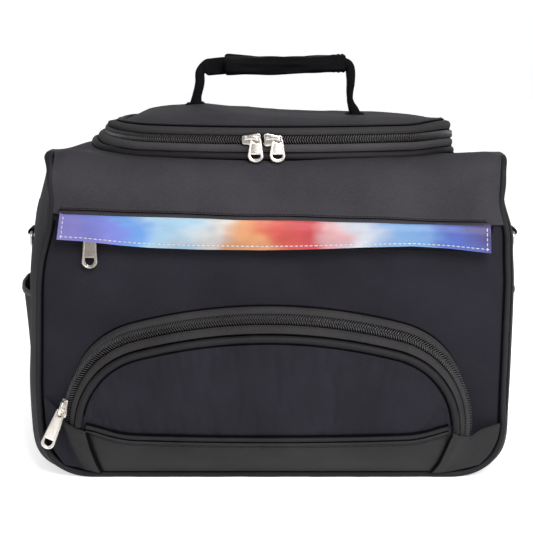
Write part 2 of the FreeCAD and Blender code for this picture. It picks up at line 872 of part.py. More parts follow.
def pocket_corner_gusset(side):
    """The folded corner beside the bottom band: -1 is the left one."""
    gap = fit_gap * side
    top = arch_foot - gusset_gap
    fold_top = front_point(side * band_half_top + gap, band_top_depth, band_top_z)
    fold_foot = front_point(side * band_half_base + gap, band_base_depth, band_foot_z)
    crease_top = front_point(side * (band_half_top + gusset_crease_run), gusset_crease_lift, top)
    crease_foot = corner_point(side, gusset_crease_angle)
    edge_x = side * (side_half(top) - edge_piping_radius * 2 - gusset_gap)
    edge_top = vec(edge_x, front_y - gusset_lift, top)
    edge_foot = corner_point(side, gusset_foot_angle)
    facets = [(fold_top, fold_foot, crease_foot), (fold_top, crease_foot, crease_top)]
    facets += [(crease_top, crease_foot, edge_foot), (crease_top, edge_foot, edge_top)]
    sheets = [slab(list(points), gusset_thickness) for points in facets]
    return sheets[0].fuse(sheets[1:]).removeSplitter()


def pocket_seat(shape):
    """Put a zip piece on the left corner of the arch's zip."""
    turn = math.radians(pocket_slider_angle)
    outward = vec(math.cos(turn), 0, math.sin(turn))
    centre = vec(pocket_shift - arch_corner_x, front_y - arch_zip_depth, arch_spring)
    forward = vec(0, -1, 0)
    across = forward * slope_deep - outward * slope_in
    return seat(shape, centre + outward * arch_corner_radius, forward.cross(outward), across)


# Side pockets, strap loops and rings, made on the left and mirrored


def side_half(z):
    """Half the body's width at a height, at its front and back edges."""
    rise = z / deck_z
    return (body_base_width * (1 - rise) + body_top_width * rise) / 2


def pocket_ring(z, swell, thickness):
    """A curved strip's section at one height, standing off the side panel by its swell."""
    half = side_pocket_depth / 2
    middle_share = 1 - (half / panel_depth) ** 2
    edge_x = -side_half(z) - side_bulge * middle_share
    crown_x = -side_half(z) - side_bulge - swell
    outer = Part.Arc(vec(edge_x - thickness, -half, z), vec(crown_x - thickness, 0, z), vec(edge_x - thickness, half, z))
    inner = Part.Arc(vec(edge_x, half, z), vec(crown_x, 0, z), vec(edge_x, -half, z))
    ends = [outer.toShape(), Part.makeLine(vec(edge_x - thickness, half, z), vec(edge_x, half, z)), inner.toShape()]
    ends.append(Part.makeLine(vec(edge_x, -half, z), vec(edge_x - thickness, -half, z)))
    return Part.Wire(ends)


def swell_at(z):
    """How far the side pocket stands off the panel at a height."""
    return side_pocket_swell * (z - side_pocket_foot) / (side_pocket_top - side_pocket_foot)


def side_pocket():
    top = side_pocket_top - side_binding_height
    low = pocket_ring(side_pocket_foot, fit_gap, side_pocket_wall)
    high = pocket_ring(top, swell_at(top), side_pocket_wall)
    return Part.makeLoft([low, high], True, True).cut(body_outer)


def side_pocket_binding():
    low = side_pocket_top - side_binding_height
    rings = [pocket_ring(z, swell_at(z), side_binding_thickness) for z in (low, side_pocket_top)]
    return Part.makeLoft(rings, True, True).cut(body_outer)


ring_x = -side_half(ring_height) - side_bulge - ring_stand_off
ring_half = (ring_inner_width + ring_wire) / 2


def d_ring():
    """A wire ring with a straight top bar and a round bow."""
    foot = ring_height - ring_side
    edges = [Part.makeLine(vec(ring_x, 0, ring_height), vec(ring_x, ring_half - ring_wire, ring_height))]
    bend = ring_wire
    edges.append(arc_edge(vec(ring_x, ring_half - bend, ring_height - bend), bend, deep, up, 90, 0))
    edges.append(Part.makeLine(vec(ring_x, ring_half, ring_height - bend), vec(ring_x, ring_half, foot)))
    edges.append(arc_edge(vec(ring_x, 0, foot), ring_half, deep, up, 0, -90))
    half_path = Part.Wire(edges)
    circle = Part.makeCircle(ring_wire / 2, vec(ring_x, 0, ring_height), deep)
    bow = sweep(half_path, Part.Wire([circle]))
    return bow.fuse(bow.mirror(vec(0, 0, 0), deep)).removeSplitter()


def strap_loop():
    """A webbing tab on the side, folded round the ring's bar."""
    half = loop_width / 2
    inner = ring_wire / 2 + loop_gap
    outer = inner + loop_thickness
    eye = Part.makeCylinder(outer, loop_width, vec(ring_x, -half, ring_height), deep)
    bore = Part.makeCylinder(inner, loop_width, vec(ring_x, -half, ring_height), deep)
    tab_x = ring_x + inner
    tab = block((tab_x, 0), (-half, half), (ring_height, ring_height + loop_height))
    return eye.fuse(tab).cut([bore, body_outer]).removeSplitter()


# Write every piece

put("front_panel", front_panel())
put("back_panel", back_panel())
left_side = side_panel()
put("left_side_panel", left_side)
put("right_side_panel", mirrored(left_side))
put("bottom_panel", bottom_panel())
put("shoulder_panel", shoulder_panel())
put("yoke_hem", yoke_hem())
put("liner", liner())
put("base_board", base_board())
front_edge = edge_piping()
put("front_piping", front_edge)
put("back_piping", front_edge.mirror(vec(0, 0, 0), deep))

put("lid_base_piping", lid_tube(0, lid_piping_radius + seam_gap, lid_piping_radius))
put("lid_zip_tape_lower", lid_zip_tape_lower())
put("lid_zip_coil_lower", lid_zip_coil(lid_zip_height - tape_edge - coil_width))
put("lid_hinge_strip", lid_hinge_strip())
put("lid_zip_tape_upper", lid_zip_tape_upper())
put("lid_zip_coil_upper", lid_zip_coil(lid_zip_height + tape_edge))
put("lid_back_gusset", lid_back_gusset())
put("lid_top_piping", lid_tube(-lid_seam_inset, lid_seam_height, lid_seam_radius))
put("lid_top_panel", lid_top_panel())
put("lid_lining", lid_lining())
for side, nose in (("left", 1), ("right", -1)):
    place = lid_slider_middle - nose * lid_slider_spread / 2
    put("lid_slider_" + side, lid_slider_seat(place, slider(nose, 1)))
    put("lid_pull_" + side, lid_slider_seat(place, hung_pull(lid_pull_length, 0)))

put("handle_anchor_left", handle_anchor(handle_left + handle_thickness / 2))
put("handle_anchor_right", handle_anchor(handle_right - handle_thickness / 2))
put("handle_strap", handle_strap())
put("handle_grip", handle_grip())

put("flap_zip_tapes", flap_zip_tapes())
put("flap_zip_coils", flap_zip_coils())
put("flap_zip_slider", flap_seat(slider(-1, 1)))
put("flap_zip_pull", flap_seat(hung_pull(pocket_pull_length, 0)))
put("zip_flap", zip_flap())

put("pocket_tape_outer", pocket_tape_outer())
put("pocket_coil_outer", pocket_coil_outer())
put("pocket_tape_inner", pocket_tape_inner())
put("pocket_coil_inner", pocket_coil_inner())
put("pocket_face", pocket_face())
put("pocket_face_piping", pocket_face_piping())
put("pocket_bottom_band", pocket_bottom_band())
put("pocket_gusset_left", pocket_corner_gusset(-1))
put("pocket_gusset_right", pocket_corner_gusset(1))
put("pocket_slider", pocket_seat(slider(1, 0)))
put("pocket_pull", pocket_seat(hung_pull(pocket_pull_length, 90 - pocket_pull_swing)))

for name, shape in (("side_pocket", side_pocket()), ("side_binding", side_pocket_binding()),
                    ("strap_loop", strap_loop()), ("d_ring", d_ring())):
    put(name + "_left", shape)
    put(name + "_right", mirrored(shape))
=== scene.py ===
import math

import bmesh
import bpy
import numpy as np
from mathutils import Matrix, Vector
from mathutils.geometry import tessellate_polygon


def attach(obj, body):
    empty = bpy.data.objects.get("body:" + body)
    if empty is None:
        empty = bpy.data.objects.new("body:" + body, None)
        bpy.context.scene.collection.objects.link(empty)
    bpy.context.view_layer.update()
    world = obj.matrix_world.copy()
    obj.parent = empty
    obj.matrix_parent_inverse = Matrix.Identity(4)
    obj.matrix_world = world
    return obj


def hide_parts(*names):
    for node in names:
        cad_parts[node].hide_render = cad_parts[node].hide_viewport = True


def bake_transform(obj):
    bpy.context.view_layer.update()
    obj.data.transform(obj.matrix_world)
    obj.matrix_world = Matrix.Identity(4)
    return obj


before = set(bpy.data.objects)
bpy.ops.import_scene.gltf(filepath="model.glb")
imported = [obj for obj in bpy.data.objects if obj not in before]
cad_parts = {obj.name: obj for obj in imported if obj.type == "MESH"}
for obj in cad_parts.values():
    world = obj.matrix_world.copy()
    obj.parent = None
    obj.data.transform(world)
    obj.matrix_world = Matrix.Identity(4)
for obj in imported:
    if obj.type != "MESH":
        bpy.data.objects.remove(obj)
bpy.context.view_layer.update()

MM = 0.001

# Sizes, in millimetres, as in the CAD part
BODY_Y, TOP, CORNER, FOLD = 110.0, 257.0, 46.0, 22.0
FOLD_Y, FOLD_Z = FOLD - BODY_Y, TOP - FOLD
BASE_HALF, TOP_HALF, FLAT_HALF = 187.0, 180.0, 141.0
FLAP_TURN = math.radians(1.6)
TILT = math.tan(FLAP_TURN)
FLAP_ZIP_Z, LID_PARTING, HANDLE_Y = 205.0, 17.0, -6.0
LID_HALF, LID_ARC, LID_ARC_Y = 153.0, 320.0, 228.0
LID_CORNER, LID_BACK_CORNER, ZIP_END, LID_BACK = 58.0, 52.0, 24.0, 80.0
ARCH_X, ARCH_HALF, ARCH_CORNER, ARCH_TOP = -4.5, 161.5, 76.0, 396.0
ARCH_Z, ARCH_FOOT, ARCH_TOP_Z = 47.0, 35.0, -261.4
SLOPE_IN, SLOPE_OUT, PARTING = 0.677, 0.736, 9.8


# Helpers for forms
def smooth(v, low=0.0, high=1.0):
    """An eased step from 0 at low to 1 at high."""
    t = np.clip((np.asarray(v, float) - low) / (high - low), 0.0, 1.0)
    return t * t * (3.0 - 2.0 * t)


def unit(v):
    return v / np.maximum(np.linalg.norm(v, axis=-1, keepdims=True), 1e-9)


def noise(p, size, seed=0):
    """Smooth repeatable noise from -1 to 1 at points in millimetres."""
    q = np.asarray(p, float) / np.asarray(size, float)
    cell = np.floor(q).astype(np.int64)
    f = q - cell
    f = f * f * (3.0 - 2.0 * f)
    total = 0.0
    for corner in np.ndindex(2, 2, 2):
        c = cell + np.array(corner)
        h = (c[..., 0] * 73856093) ^ (c[..., 1] * 19349663) ^ (c[..., 2] * 83492791) ^ (seed * 40503 + 977)
        h = ((h ^ (h >> 13)) * 1274126177) & 0x7FFFFFFF
        h = (h ^ (h >> 15)) & 0xFFFF
        w = np.prod(np.where(np.array(corner), f, 1.0 - f), axis=-1)
        total = total + w * (h / 32767.5 - 1.0)
    return total


def along(path, step=None, count=None, closed=False):
    """Points spaced evenly along a path; extra columns are carried along."""
    path = np.asarray(path, float)
    if closed:
        path = np.vstack([path, path[:1]])
    d = np.r_[0.0, np.cumsum(np.linalg.norm(np.diff(path[:, :3], axis=0), axis=1))]
    n = count or max(2, int(round(d[-1] / step)) + 1)
    s = np.linspace(0.0, d[-1], n)
    if closed:
        s = s[:-1]
    return np.stack([np.interp(s, d, path[:, k]) for k in range(path.shape[1])], 1)


def soften(path, rounds=1):
    """A path with its corners eased; its ends stay."""
    for _ in range(rounds):
        path[1:-1] = (path[:-2] + 2 * path[1:-1] + path[2:]) / 4
    return path


def at_depth(x, y, z):
    """Points at x and z in the upright plane at y."""
    return np.stack([x, np.full_like(x, y), z], 1)


def squared_circle(angle, power):
    """A circle's two coordinates; a power below one makes it squarer."""
    c, s = np.cos(angle), np.sin(angle)
    return np.sign(c) * np.abs(c) ** power, np.sign(s) * np.abs(s) ** power


def tangent(path, closed=False):
    path = np.asarray(path, float)[:, :3]
    if closed:
        return unit(np.roll(path, -1, 0) - np.roll(path, 1, 0))
    return unit(np.gradient(path, axis=0))


def grid_normal(P, wrap=False):
    """Normals of a grid of points."""
    du = np.roll(P, -1, 1) - np.roll(P, 1, 1) if wrap else np.gradient(P, axis=1)
    return unit(np.cross(du, np.gradient(P, axis=0)))


def grid(P, wrap=False, start=0, flip=False):
    """Points and faces of a grid; wrap joins its last column to its first."""
    rows, cols = P.shape[:2]
    idx = np.arange(rows * cols).reshape(rows, cols) + start
    if wrap:
        idx = np.hstack([idx, idx[:, :1]])
    quads = np.stack([idx[:-1, :-1], idx[:-1, 1:], idx[1:, 1:], idx[1:, :-1]], -1).reshape(-1, 4)
    return P.reshape(-1, 3), (quads[:, ::-1] if flip else quads).tolist()


def slab(P, thick, wrap=False):
    """A sheet with a thickness: the grid P is one face, the other lies thick away along its normals."""
    rows, cols = P.shape[:2]
    Q = P + grid_normal(P, wrap) * thick
    V1, F1 = grid(P, wrap)
    V2, F2 = grid(Q, wrap, rows * cols, True)
    idx = np.arange(rows * cols).reshape(rows, cols)
    rims = [idx[0], idx[-1][::-1]] if wrap else [np.r_[idx[0], idx[1:, -1], idx[-1, -2::-1], idx[-2::-1, 0]]]
    F = F1 + F2
    for rim in rims:
        ring = np.r_[rim, rim[:1]] if wrap else rim
        for a, b in zip(ring[:-1].tolist(), ring[1:].tolist()):
            F.append([b, a, a + rows * cols, b + rows * cols])
    return np.vstack([V1, V2]), F


def tube(path, radius, sides=12, closed=False, up=None, flat=1.0):
    """A tube round a path. up turns the section and flat squashes it across up."""
    path = np.asarray(path, float)[:, :3]
    n = len(path)
    t = tangent(path, closed)
    if up is None:
        a = np.zeros_like(t)
        ref = np.array([0.0, 0.0, 1.0]) if abs(t[0, 2]) < 0.9 else np.array([0.0, 1.0, 0.0])
        for i in range(n):
            ref = unit(ref - t[i] * (ref @ t[i]))
            a[i] = ref
    else:
        a = np.broadcast_to(np.asarray(up, float), t.shape)
        a = unit(a - t * np.sum(a * t, 1, keepdims=True))
    b = np.cross(t, a)
    ang = np.linspace(0, 2 * np.pi, sides, endpoint=False)
    c, s = np.cos(ang), np.sin(ang)
    r = np.broadcast_to(np.asarray(radius, float), (n,))[:, None]
    P = path[:, None] + a[:, None] * (c * r)[..., None] + b[:, None] * (s * r * flat)[..., None]
    V, F = grid(P, True)
    if closed:
        last = (n - 1) * sides
        F += [[last + j, last + (j + 1) % sides, (j + 1) % sides, j] for j in range(sides)]
        return V, F
    F += [list(range(sides))[::-1], list(range((n - 1) * sides, n * sides))]
    return V, F


def uneven(path, radius, change, grain, seed, sides=10, **more):
    """A hand-made looking cord: a tube whose radius wanders by change."""
    return tube(path, radius + change * noise(path, grain, seed), sides, **more)


def stamp(template, faces, origin, t, b, n):
    """Copies of a small form, given in (t, b, n) axes, at each origin."""
    template = np.asarray(template, float)
    V = (
        origin[:, None]
        + t[:, None] * template[None, :, :1]
        + b[:, None] * template[None, :, 1:2]
        + n[:, None] * template[None, :, 2:3]
    )
    k = len(template)
    F = [[i + j * k for i in f] for j in range(len(origin)) for f in faces]
    return V.reshape(-1, 3), F


def rings(sections):
    """A closed form lofted through rings of points."""
    P = np.asarray(sections, float)
    V, F = grid(P, True)
    k, n = P.shape[1], P.shape[0]
    return V, F + [list(range(k))[::-1], list(range((n - 1) * k, n * k))]


# A stitch's pitch, length, width and height
SEAM_STITCH = (2.9, 2.2, 0.75, 0.3)
TAPE_STITCH = (2.9, 2.0, 0.75, 0.3)
FLAP_STITCH = (3.9, 2.7, 0.85, 0.35)
FOOT_STITCH = (2.6, 1.9, 0.7, 0.3)


def stitches(path, normal, stitch):
    """A row of thread stitches on a surface that faces normal."""
    pitch, length, width, high = stitch
    path = np.asarray(path, float)
    normal = np.broadcast_to(np.asarray(normal, float), (len(path), 3))
    q = along(np.hstack([path[:, :3], normal]), pitch)
    p, n = q[:, :3], unit(q[:, 3:6])
    t = tangent(p)
    n = unit(n - t * np.sum(n * t, 1, keepdims=True))
    b = np.cross(t, n)
    ang = np.linspace(0, 2 * np.pi, 6, endpoint=False)
    sec = [
        [[e * length / 2, np.cos(a) * width / 2 * k, np.sin(a) * high * k + high * (k - 0.75)] for a in ang]
        for e, k in ((-1.0, 0.35), (-0.8, 0.85), (0.0, 1.0), (0.8, 0.85), (1.0, 0.35))
    ]
    T, F = rings(sec)
    return stamp(T, F, p, t, b, n)


TOOTH_PITCH, TOOTH_SLANT = 2.05, 0.5


def teeth(path, normal, across, reach, high=2.0):
    """One side of a coil zip: slanted ribs from the parting line outwards along across."""
    q = along(np.hstack([np.asarray(path, float)[:, :3], normal, across]), TOOTH_PITCH)
    p, n, b = q[:, :3], unit(q[:, 3:6]), unit(q[:, 6:9])
    t = tangent(p)
    w = TOOTH_PITCH * 0.21
    ring = [(-1, 0), (-1, 0.5), (-0.5, 0.95), (0.5, 0.95), (1, 0.5), (1, 0)]
    stations = [(-0.13, 0.7, 0.8), (0.05, 0.95, 1.0), (0.45, 1.0, 1.05), (0.8, 0.85, 1.0), (1.0, 0.4, 0.8)]
    sec = []
    for e, h, k in stations:
        x = e * reach
        sec.append([[a * w * k + TOOTH_SLANT * x, x, c * high * h] for a, c in ring])
    T, F = rings(sec)
    return stamp(T, F, p, t, b, n)


def merge(parts):
    """One form from several."""
    if isinstance(parts, tuple):
        parts = [parts]
    V, F, k = [], [], 0
    for v, f in parts:
        V.append(np.asarray(v, float))
        F += [[i + k for i in face] for face in f]
        k += len(v)
    return np.vstack(V), F


def piece(name, parts, material, body="bag", nodes=(), sharp=50.0):
    """A mesh made from forms in millimetres, which rides on a body and stands for CAD nodes."""
    V, F = merge(parts)
    me = bpy.data.meshes.new(name)
    me.from_pydata((V * MM).tolist(), [], F)
    bm = bmesh.new()
    bm.from_mesh(me)
    bmesh.ops.recalc_face_normals(bm, faces=bm.faces)
    bm.to_mesh(me)
    bm.free()
    me.polygons.foreach_set("use_smooth", [True] * len(me.polygons))
    me.set_sharp_from_angle(angle=math.radians(sharp))
    me.materials.append(material)
    obj = bpy.data.objects.new(name, me)
    bpy.context.scene.collection.objects.link(obj)
    if body:
        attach(obj, body)
    if nodes:
        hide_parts(*nodes)
    return obj


def settle(P, held, pressure, cap):
    """A sheet swelled and puckered by Blender's cloth. Held points stay and no point moves more than cap."""
    V, F = grid(P)
    me = bpy.data.meshes.new("settle")
    me.from_pydata((V * MM).tolist(), [], F)
    obj = bpy.data.objects.new("settle", me)
    scene = bpy.context.scene
    scene.collection.objects.link(obj)
    group = obj.vertex_groups.new(name="held")
    group.add(np.flatnonzero(held.reshape(-1)).tolist(), 1.0, "REPLACE")
    cloth = obj.modifiers.new("cloth", "CLOTH").settings
    cloth.quality, cloth.mass, cloth.vertex_group_mass = 6, 0.3, "held"
    cloth.tension_stiffness = cloth.compression_stiffness = 12.0
    cloth.shear_stiffness, cloth.bending_stiffness = 4.0, 0.3
    cloth.use_pressure, cloth.uniform_pressure_force = True, pressure
    cloth.shrink_min = -0.012
    cloth.effector_weights.gravity = 0.0
    for frame_no in range(1, 21):
        scene.frame_set(frame_no)
    mesh = obj.evaluated_get(bpy.context.evaluated_depsgraph_get()).data
    move = np.array([v.co[:] for v in mesh.vertices]) / MM - V
    scene.frame_set(1)
    bpy.data.objects.remove(obj)
    bpy.data.meshes.remove(me)
    far = np.linalg.norm(move, axis=1, keepdims=True)
    return (V + move * np.minimum(1.0, cap / np.maximum(far, 1e-6))).reshape(P.shape)


# Materials
class Shader:
    """A material under construction, with short ways to add texture nodes."""

    def __init__(self, name):
        self.mat = bpy.data.materials.new(name)
        self.mat.use_nodes = True
        self.nodes, self.links = self.mat.node_tree.nodes, self.mat.node_tree.links
        self.bsdf = self.nodes["Principled BSDF"]
        self.coord = self.nodes.new("ShaderNodeTexCoord").outputs["Object"]
        self.bumped = None

    def join(self, socket, value):
        """Sets an input to a value, or links it where the value is another node's output."""
        if isinstance(value, bpy.types.NodeSocket):
            self.links.new(value, socket)
        else:
            socket.default_value = value

    def set(self, node=None, **inputs):
        for key, value in inputs.items():
            self.join((node or self.bsdf).inputs[key.replace("_", " ")], value)

    def node(self, kind, settings=(), **inputs):
        n = self.nodes.new("ShaderNode" + kind)
        for key, value in settings:
            setattr(n, key, value)
        self.set(n, **inputs)
        return n.outputs

    def math(self, kind, *values):
        n = self.nodes.new("ShaderNodeMath")
        n.operation = kind
        for socket, value in zip(n.inputs, values):
            self.join(socket, value)
        return n.outputs["Value"]

    def mapping(self, scale, turn=(0, 0, 0)):
        return self.node("Mapping", Vector=self.coord, Scale=scale, Rotation=turn)["Vector"]

    def noise(self, scale, stretch=(1, 1, 1), detail=3.0, rough=0.55, turn=(0, 0, 0)):
        at = self.mapping(stretch, turn)
        return self.node("TexNoise", Vector=at, Scale=scale, Detail=detail, Roughness=rough)["Fac"]

    def wave(self, scale, direction, turn=(0, 0, 0)):
        at = self.mapping((1, 1, 1), turn)
        return self.node("TexWave", [("bands_direction", direction)], Vector=at, Scale=scale)["Fac"]

    def ramp(self, fac, stops, ease="EASE"):
        r = self.nodes.new("ShaderNodeValToRGB")
        r.color_ramp.interpolation = ease
        e = r.color_ramp.elements
        while len(e) < len(stops):
            e.new(0.5)
        for item, (pos, col) in zip(e, stops):
            item.position, item.color = pos, (*col, 1.0)
        self.links.new(fac, r.inputs["Fac"])
        return r.outputs["Color"]

    def mix(self, kind, fac, a, b):
        settings = [("data_type", "RGBA"), ("blend_type", kind)]
        return self.node("Mix", settings, Factor=fac, A=a, B=b)["Result"]

    def bump(self, height, strength, distance):
        before = {"Normal": self.bumped} if self.bumped else {}
        self.bumped = self.node("Bump", Strength=strength, Distance=distance, Height=height, **before)["Normal"]
        self.set(Normal=self.bumped)

    def roughness(self, fac, low, high):
        self.set(Roughness=self.node("MapRange", Value=fac, To_Min=low, To_Max=high)["Result"])


def fabric(name, dark, light, streak=(1, 1, 6), weave=650.0, rough=(0.62, 0.8), crumple=0.35, shine=0.08):
    """Woven cloth: fine crossing threads, slight streaks along the weave and a faint crumple."""
    s = Shader(name)
    broad = s.noise(20.0, (1, 1, 1), 2.0)
    fine = s.noise(420.0, streak, 3.0, 0.7)
    tone = s.mix("MIX", 0.6, broad, fine)
    s.set(Base_Color=s.ramp(tone, [(0.36, dark), (0.64, light)], "LINEAR"))
    s.roughness(fine, *rough)
    s.bump(s.noise(34.0, (1, 1, 1.4), 4.0), crumple, 0.0014)
    threads = s.mix("MULTIPLY", 1.0, s.wave(weave, "DIAGONAL"), s.wave(weave, "Z", (0, 0.2, 0.4)))
    s.bump(threads, 0.3, 0.0003)
    s.bump(fine, 0.25, 0.0004)
    s.set(Specular_IOR_Level=shine)
    return s.mat


def metal(name, dark, light, rough):
    """Plated metal with faint clouding and fine scratches."""
    s = Shader(name)
    s.set(Base_Color=s.ramp(s.noise(60.0, (1, 1, 1), 3.0), [(0.3, dark), (0.7, light)]))
    s.roughness(s.noise(900.0, (1, 1, 5), 3.0), *rough)
    s.bump(s.noise(240.0, (1, 1, 3), 2.0), 0.03, 0.0002)
    s.set(Metallic=1.0)
    return s.mat


BODY = fabric("bag_cloth", (0.0078, 0.0075, 0.0110), (0.0146, 0.0140, 0.0192))
YOKE = fabric("shoulder_cloth", (0.0215, 0.0198, 0.0235), (0.0365, 0.0342, 0.0392), crumple=0.5)
FACE = fabric("pocket_cloth", (0.0080, 0.0077, 0.0112), (0.0150, 0.0143, 0.0196), crumple=0.3)
# Painted shade: the bag's cloth darkened for the side band and side pockets, which turn away from the light.
SIDE_SHADED = fabric("side_cloth_painted_shade", (0.0062, 0.0060, 0.0087), (0.0116, 0.0111, 0.0152))
BAND = fabric("band_cloth", (0.0145, 0.0142, 0.0151), (0.0255, 0.0250, 0.0261), crumple=0.4)
LINING = fabric("lining_cloth", (0.011, 0.011, 0.012), (0.018, 0.018, 0.020))
EVEN, RIBBED, FINE = (1, 1, 1), (1, 1, 5), 900.0
TAPE_LOOK = (RIBBED, FINE, (0.65, 0.8), 0.15)
THREAD_LOOK = (EVEN, FINE, (0.5, 0.6), 0.0)
COIL_LOOK = (EVEN, FINE, (0.28, 0.42), 0.0, 0.4)
SHADE_BLACK_LOOK = (EVEN, FINE, (0.75, 0.85), 0.0, 0.03)
WEBBING_LOOK = ((6, 1, 1), 520.0, (0.65, 0.8), 0.2, 0.06)
BOARD_LOOK = (EVEN, 400.0, (0.5, 0.6), 0.1, 0.3)
PIPING_LOOK = (EVEN, 650.0, (0.5, 0.65), 0.35, 0.16)
PIPING = fabric("piping_cloth", (0.0056, 0.0054, 0.0067), (0.0104, 0.0100, 0.0120), *PIPING_LOOK)
TAPE = fabric("zip_tape_cloth", (0.0190, 0.0176, 0.0186), (0.0350, 0.0327, 0.0341), *TAPE_LOOK)
# Painted light: a lighter copy of the zip tape's cloth for the lid's lower tape, as if lit from above.
LID_TAPE_LIT = fabric("lid_tape_cloth_painted_light", (0.0290, 0.0267, 0.0290), (0.0500, 0.0466, 0.0497), *TAPE_LOOK)
COIL = fabric("zip_coil_nylon", (0.032, 0.031, 0.033), (0.066, 0.064, 0.067), *COIL_LOOK)
# Painted shade: a near-black cloth for the cords laid in deep gaps and the strips under the zip coils, where
# shade falls.
SHADE_BLACK = fabric("painted_shade_black", (0.0008, 0.0008, 0.0010), (0.0018, 0.0018, 0.0021), *SHADE_BLACK_LOOK)
WEBBING = fabric("webbing_cloth", (0.0012, 0.0012, 0.0018), (0.0034, 0.0033, 0.0044), *WEBBING_LOOK)
THREAD_DARK = fabric("dark_thread", (0.004, 0.004, 0.005), (0.008, 0.008, 0.009), *THREAD_LOOK)
THREAD_WHITE = fabric("white_thread", (0.34, 0.34, 0.37), (0.50, 0.50, 0.52), *THREAD_LOOK)
BOARD = fabric("board_plastic", (0.012, 0.012, 0.013), (0.020, 0.020, 0.021), *BOARD_LOOK)
NICKEL = metal("nickel", (0.66, 0.61, 0.56), (0.84, 0.79, 0.73), (0.2, 0.36))
NICKEL_DULL = metal("nickel_dull", (0.47, 0.44, 0.405), (0.66, 0.62, 0.575), (0.3, 0.44))
NICKEL_DARK = metal("nickel_dark", (0.36, 0.325, 0.295), (0.54, 0.495, 0.45), (0.2, 0.36))


def flap_cloth():
    """Satin with a plain soft blend of colours along its length, gently warped and clouded."""
    s = Shader("flap_cloth")
    length = 0.342
    across = s.node("SeparateXYZ", Vector=s.mapping((1 / length, 1, 1)))["X"]
    warp = s.noise(13.0, (1, 1, 2.2), 3.0, 0.5, (0, 0.5, 0))
    place = s.math("ADD", s.math("MULTIPLY_ADD", warp, 0.34, across), 0.33)
    stops = [
        (0.00, (0.150, 0.130, 0.330)),
        (0.10, (0.110, 0.130, 0.390)),
        (0.19, (0.085, 0.190, 0.420)),
        (0.27, (0.220, 0.340, 0.430)),
        (0.35, (0.410, 0.385, 0.350)),
        (0.42, (0.420, 0.190, 0.085)),
        (0.50, (0.360, 0.045, 0.035)),
        (0.57, (0.330, 0.028, 0.035)),
        (0.64, (0.400, 0.215, 0.220)),
        (0.72, (0.390, 0.400, 0.430)),
        (0.80, (0.130, 0.255, 0.430)),
        (0.90, (0.040, 0.070, 0.270)),
        (1.00, (0.040, 0.026, 0.120)),
    ]
    base = s.ramp(place, stops)
    cloud = s.ramp(s.noise(30.0, (0.6, 1, 1.3), 3.0), [(0.35, (0.72, 0.74, 0.80)), (0.65, (1.0, 1.0, 1.0))])
    s.set(Base_Color=s.mix("MULTIPLY", 1.0, base, cloud))
    s.roughness(s.noise(300.0, (1, 1, 6), 2.0), 0.36, 0.5)
    s.bump(s.noise(45.0, (1, 1, 1), 3.0), 0.25, 0.0008)
    s.bump(s.mix("MULTIPLY", 1.0, s.wave(750.0, "DIAGONAL"), s.wave(750.0, "Z")), 0.15, 0.0002)
    s.set(Specular_IOR_Level=0.3)
    return s.mat


PRINT = flap_cloth()


def painted_shade_cord(name, path, body="bag", radius=0.8):
    """Painted shade: a thin black cord laid in the deep gap beside a piping or a fold, standing in for the
    shade there.
    """
    return piece(name, tube(along(path, 2.0), radius, 6), SHADE_BLACK, body)


# The body's form
SQUARE = 0.83  # below one, the round bottom corners are a little squarer than a circle


def half_at(z):
    """Half width of the bag at a height, straight from base to top."""
    return BASE_HALF - (BASE_HALF - TOP_HALF) * np.asarray(z, float) / TOP


def edge_half(z):
    """Half width of the front outline, with its round bottom corners."""
    z = np.asarray(z, float)
    low = np.clip(z, 0.0, CORNER)
    rise = ((CORNER - low) / CORNER) ** (1.0 / SQUARE)
    arc = FLAT_HALF + CORNER * np.sqrt(1.0 - rise**2) ** SQUARE - (BASE_HALF - TOP_HALF) * low / TOP
    return np.where(z < CORNER, arc, half_at(z))


RIGHT_SLACK = 6.5  # how much less the right side swells out than the left
EAR_ROLL = 2.5  # how far the deck's front corners roll down at their edge
DECK_SWELL = 8.0  # how far the deck's sides bow out between front and back
PANEL_TOP = 200.0


def sway(x, z):
    """The soft front spreads below the shoulder, and its top leans to the right."""
    x, z = np.asarray(x, float), np.asarray(z, float)
    spread = np.where(x < 0, 5.2, 3.6) * smooth(214.0 - z, 0.0, 60.0)
    left = 2.4 * smooth(214.0 - z, 0.0, 40.0) * smooth(z, 30.0, 80.0)
    right = 7.0 * smooth(228.0 - z, 0.0, 30.0) * np.clip((z - 50.0) / 145.0, 0.0, 1.0)
    spread = spread + np.where(x < 0, left, right)
    lean = 3.0 * smooth(z, 175.0, 240.0) * smooth(np.abs(x), 60.0, 170.0)
    return x + spread * np.clip(x / TOP_HALF, -1.05, 1.05) + lean


def front_sway(x, y, z):
    """The front's sway, fading out towards the back."""
    return x + (sway(x, z) - x) * smooth(-y, 20.0, 100.0)


def fold_share(z):
    """0 below the shoulder's fold, rising to 1 on the deck."""
    return smooth(z, FOLD_Z + 1.0, TOP)


def depth_share(y):
    """1 halfway between front and back, 0 at both."""
    return np.maximum(1.0 - (np.asarray(y, float) / BODY_Y) ** 2, 0.0)


def side_swell(z):
    """How far the sides swell out halfway between front and back."""
    return DECK_SWELL + 12.0 * smooth(TOP - np.asarray(z, float), 0.0, 62.0)


def deck_lift(x, y):
    """The soft top stands up at its front ears, bulges behind the left one and falls towards the back."""
    x, y = np.asarray(x, float), np.asarray(y, float)
    ear = smooth(np.abs(x), 112.0, 174.0)
    back = np.clip((y + 100.0) / 200.0, 0.0, 1.0)
    front = np.where(x < 0, 8.5 - 8.5 * smooth(back, 0.0, 0.3), 6.0 - 6.0 * smooth(back, 0.0, 0.55)) * ear
    twist = -x / TOP_HALF * np.where(x < 0, 1.0, 7.5) * smooth(back)
    left = 8.0 * smooth(-x, 85.0, 140.0) * (1.0 - 0.95 * smooth(-x, 148.0, 182.0))
    left = left * smooth(back, 0.12, 0.5) * (1.0 - smooth(back, 0.72, 1.0))
    return front + twist + left - np.where(x < 0, 15.0, 10.0) * ear * smooth(back, 0.35, 1.0)


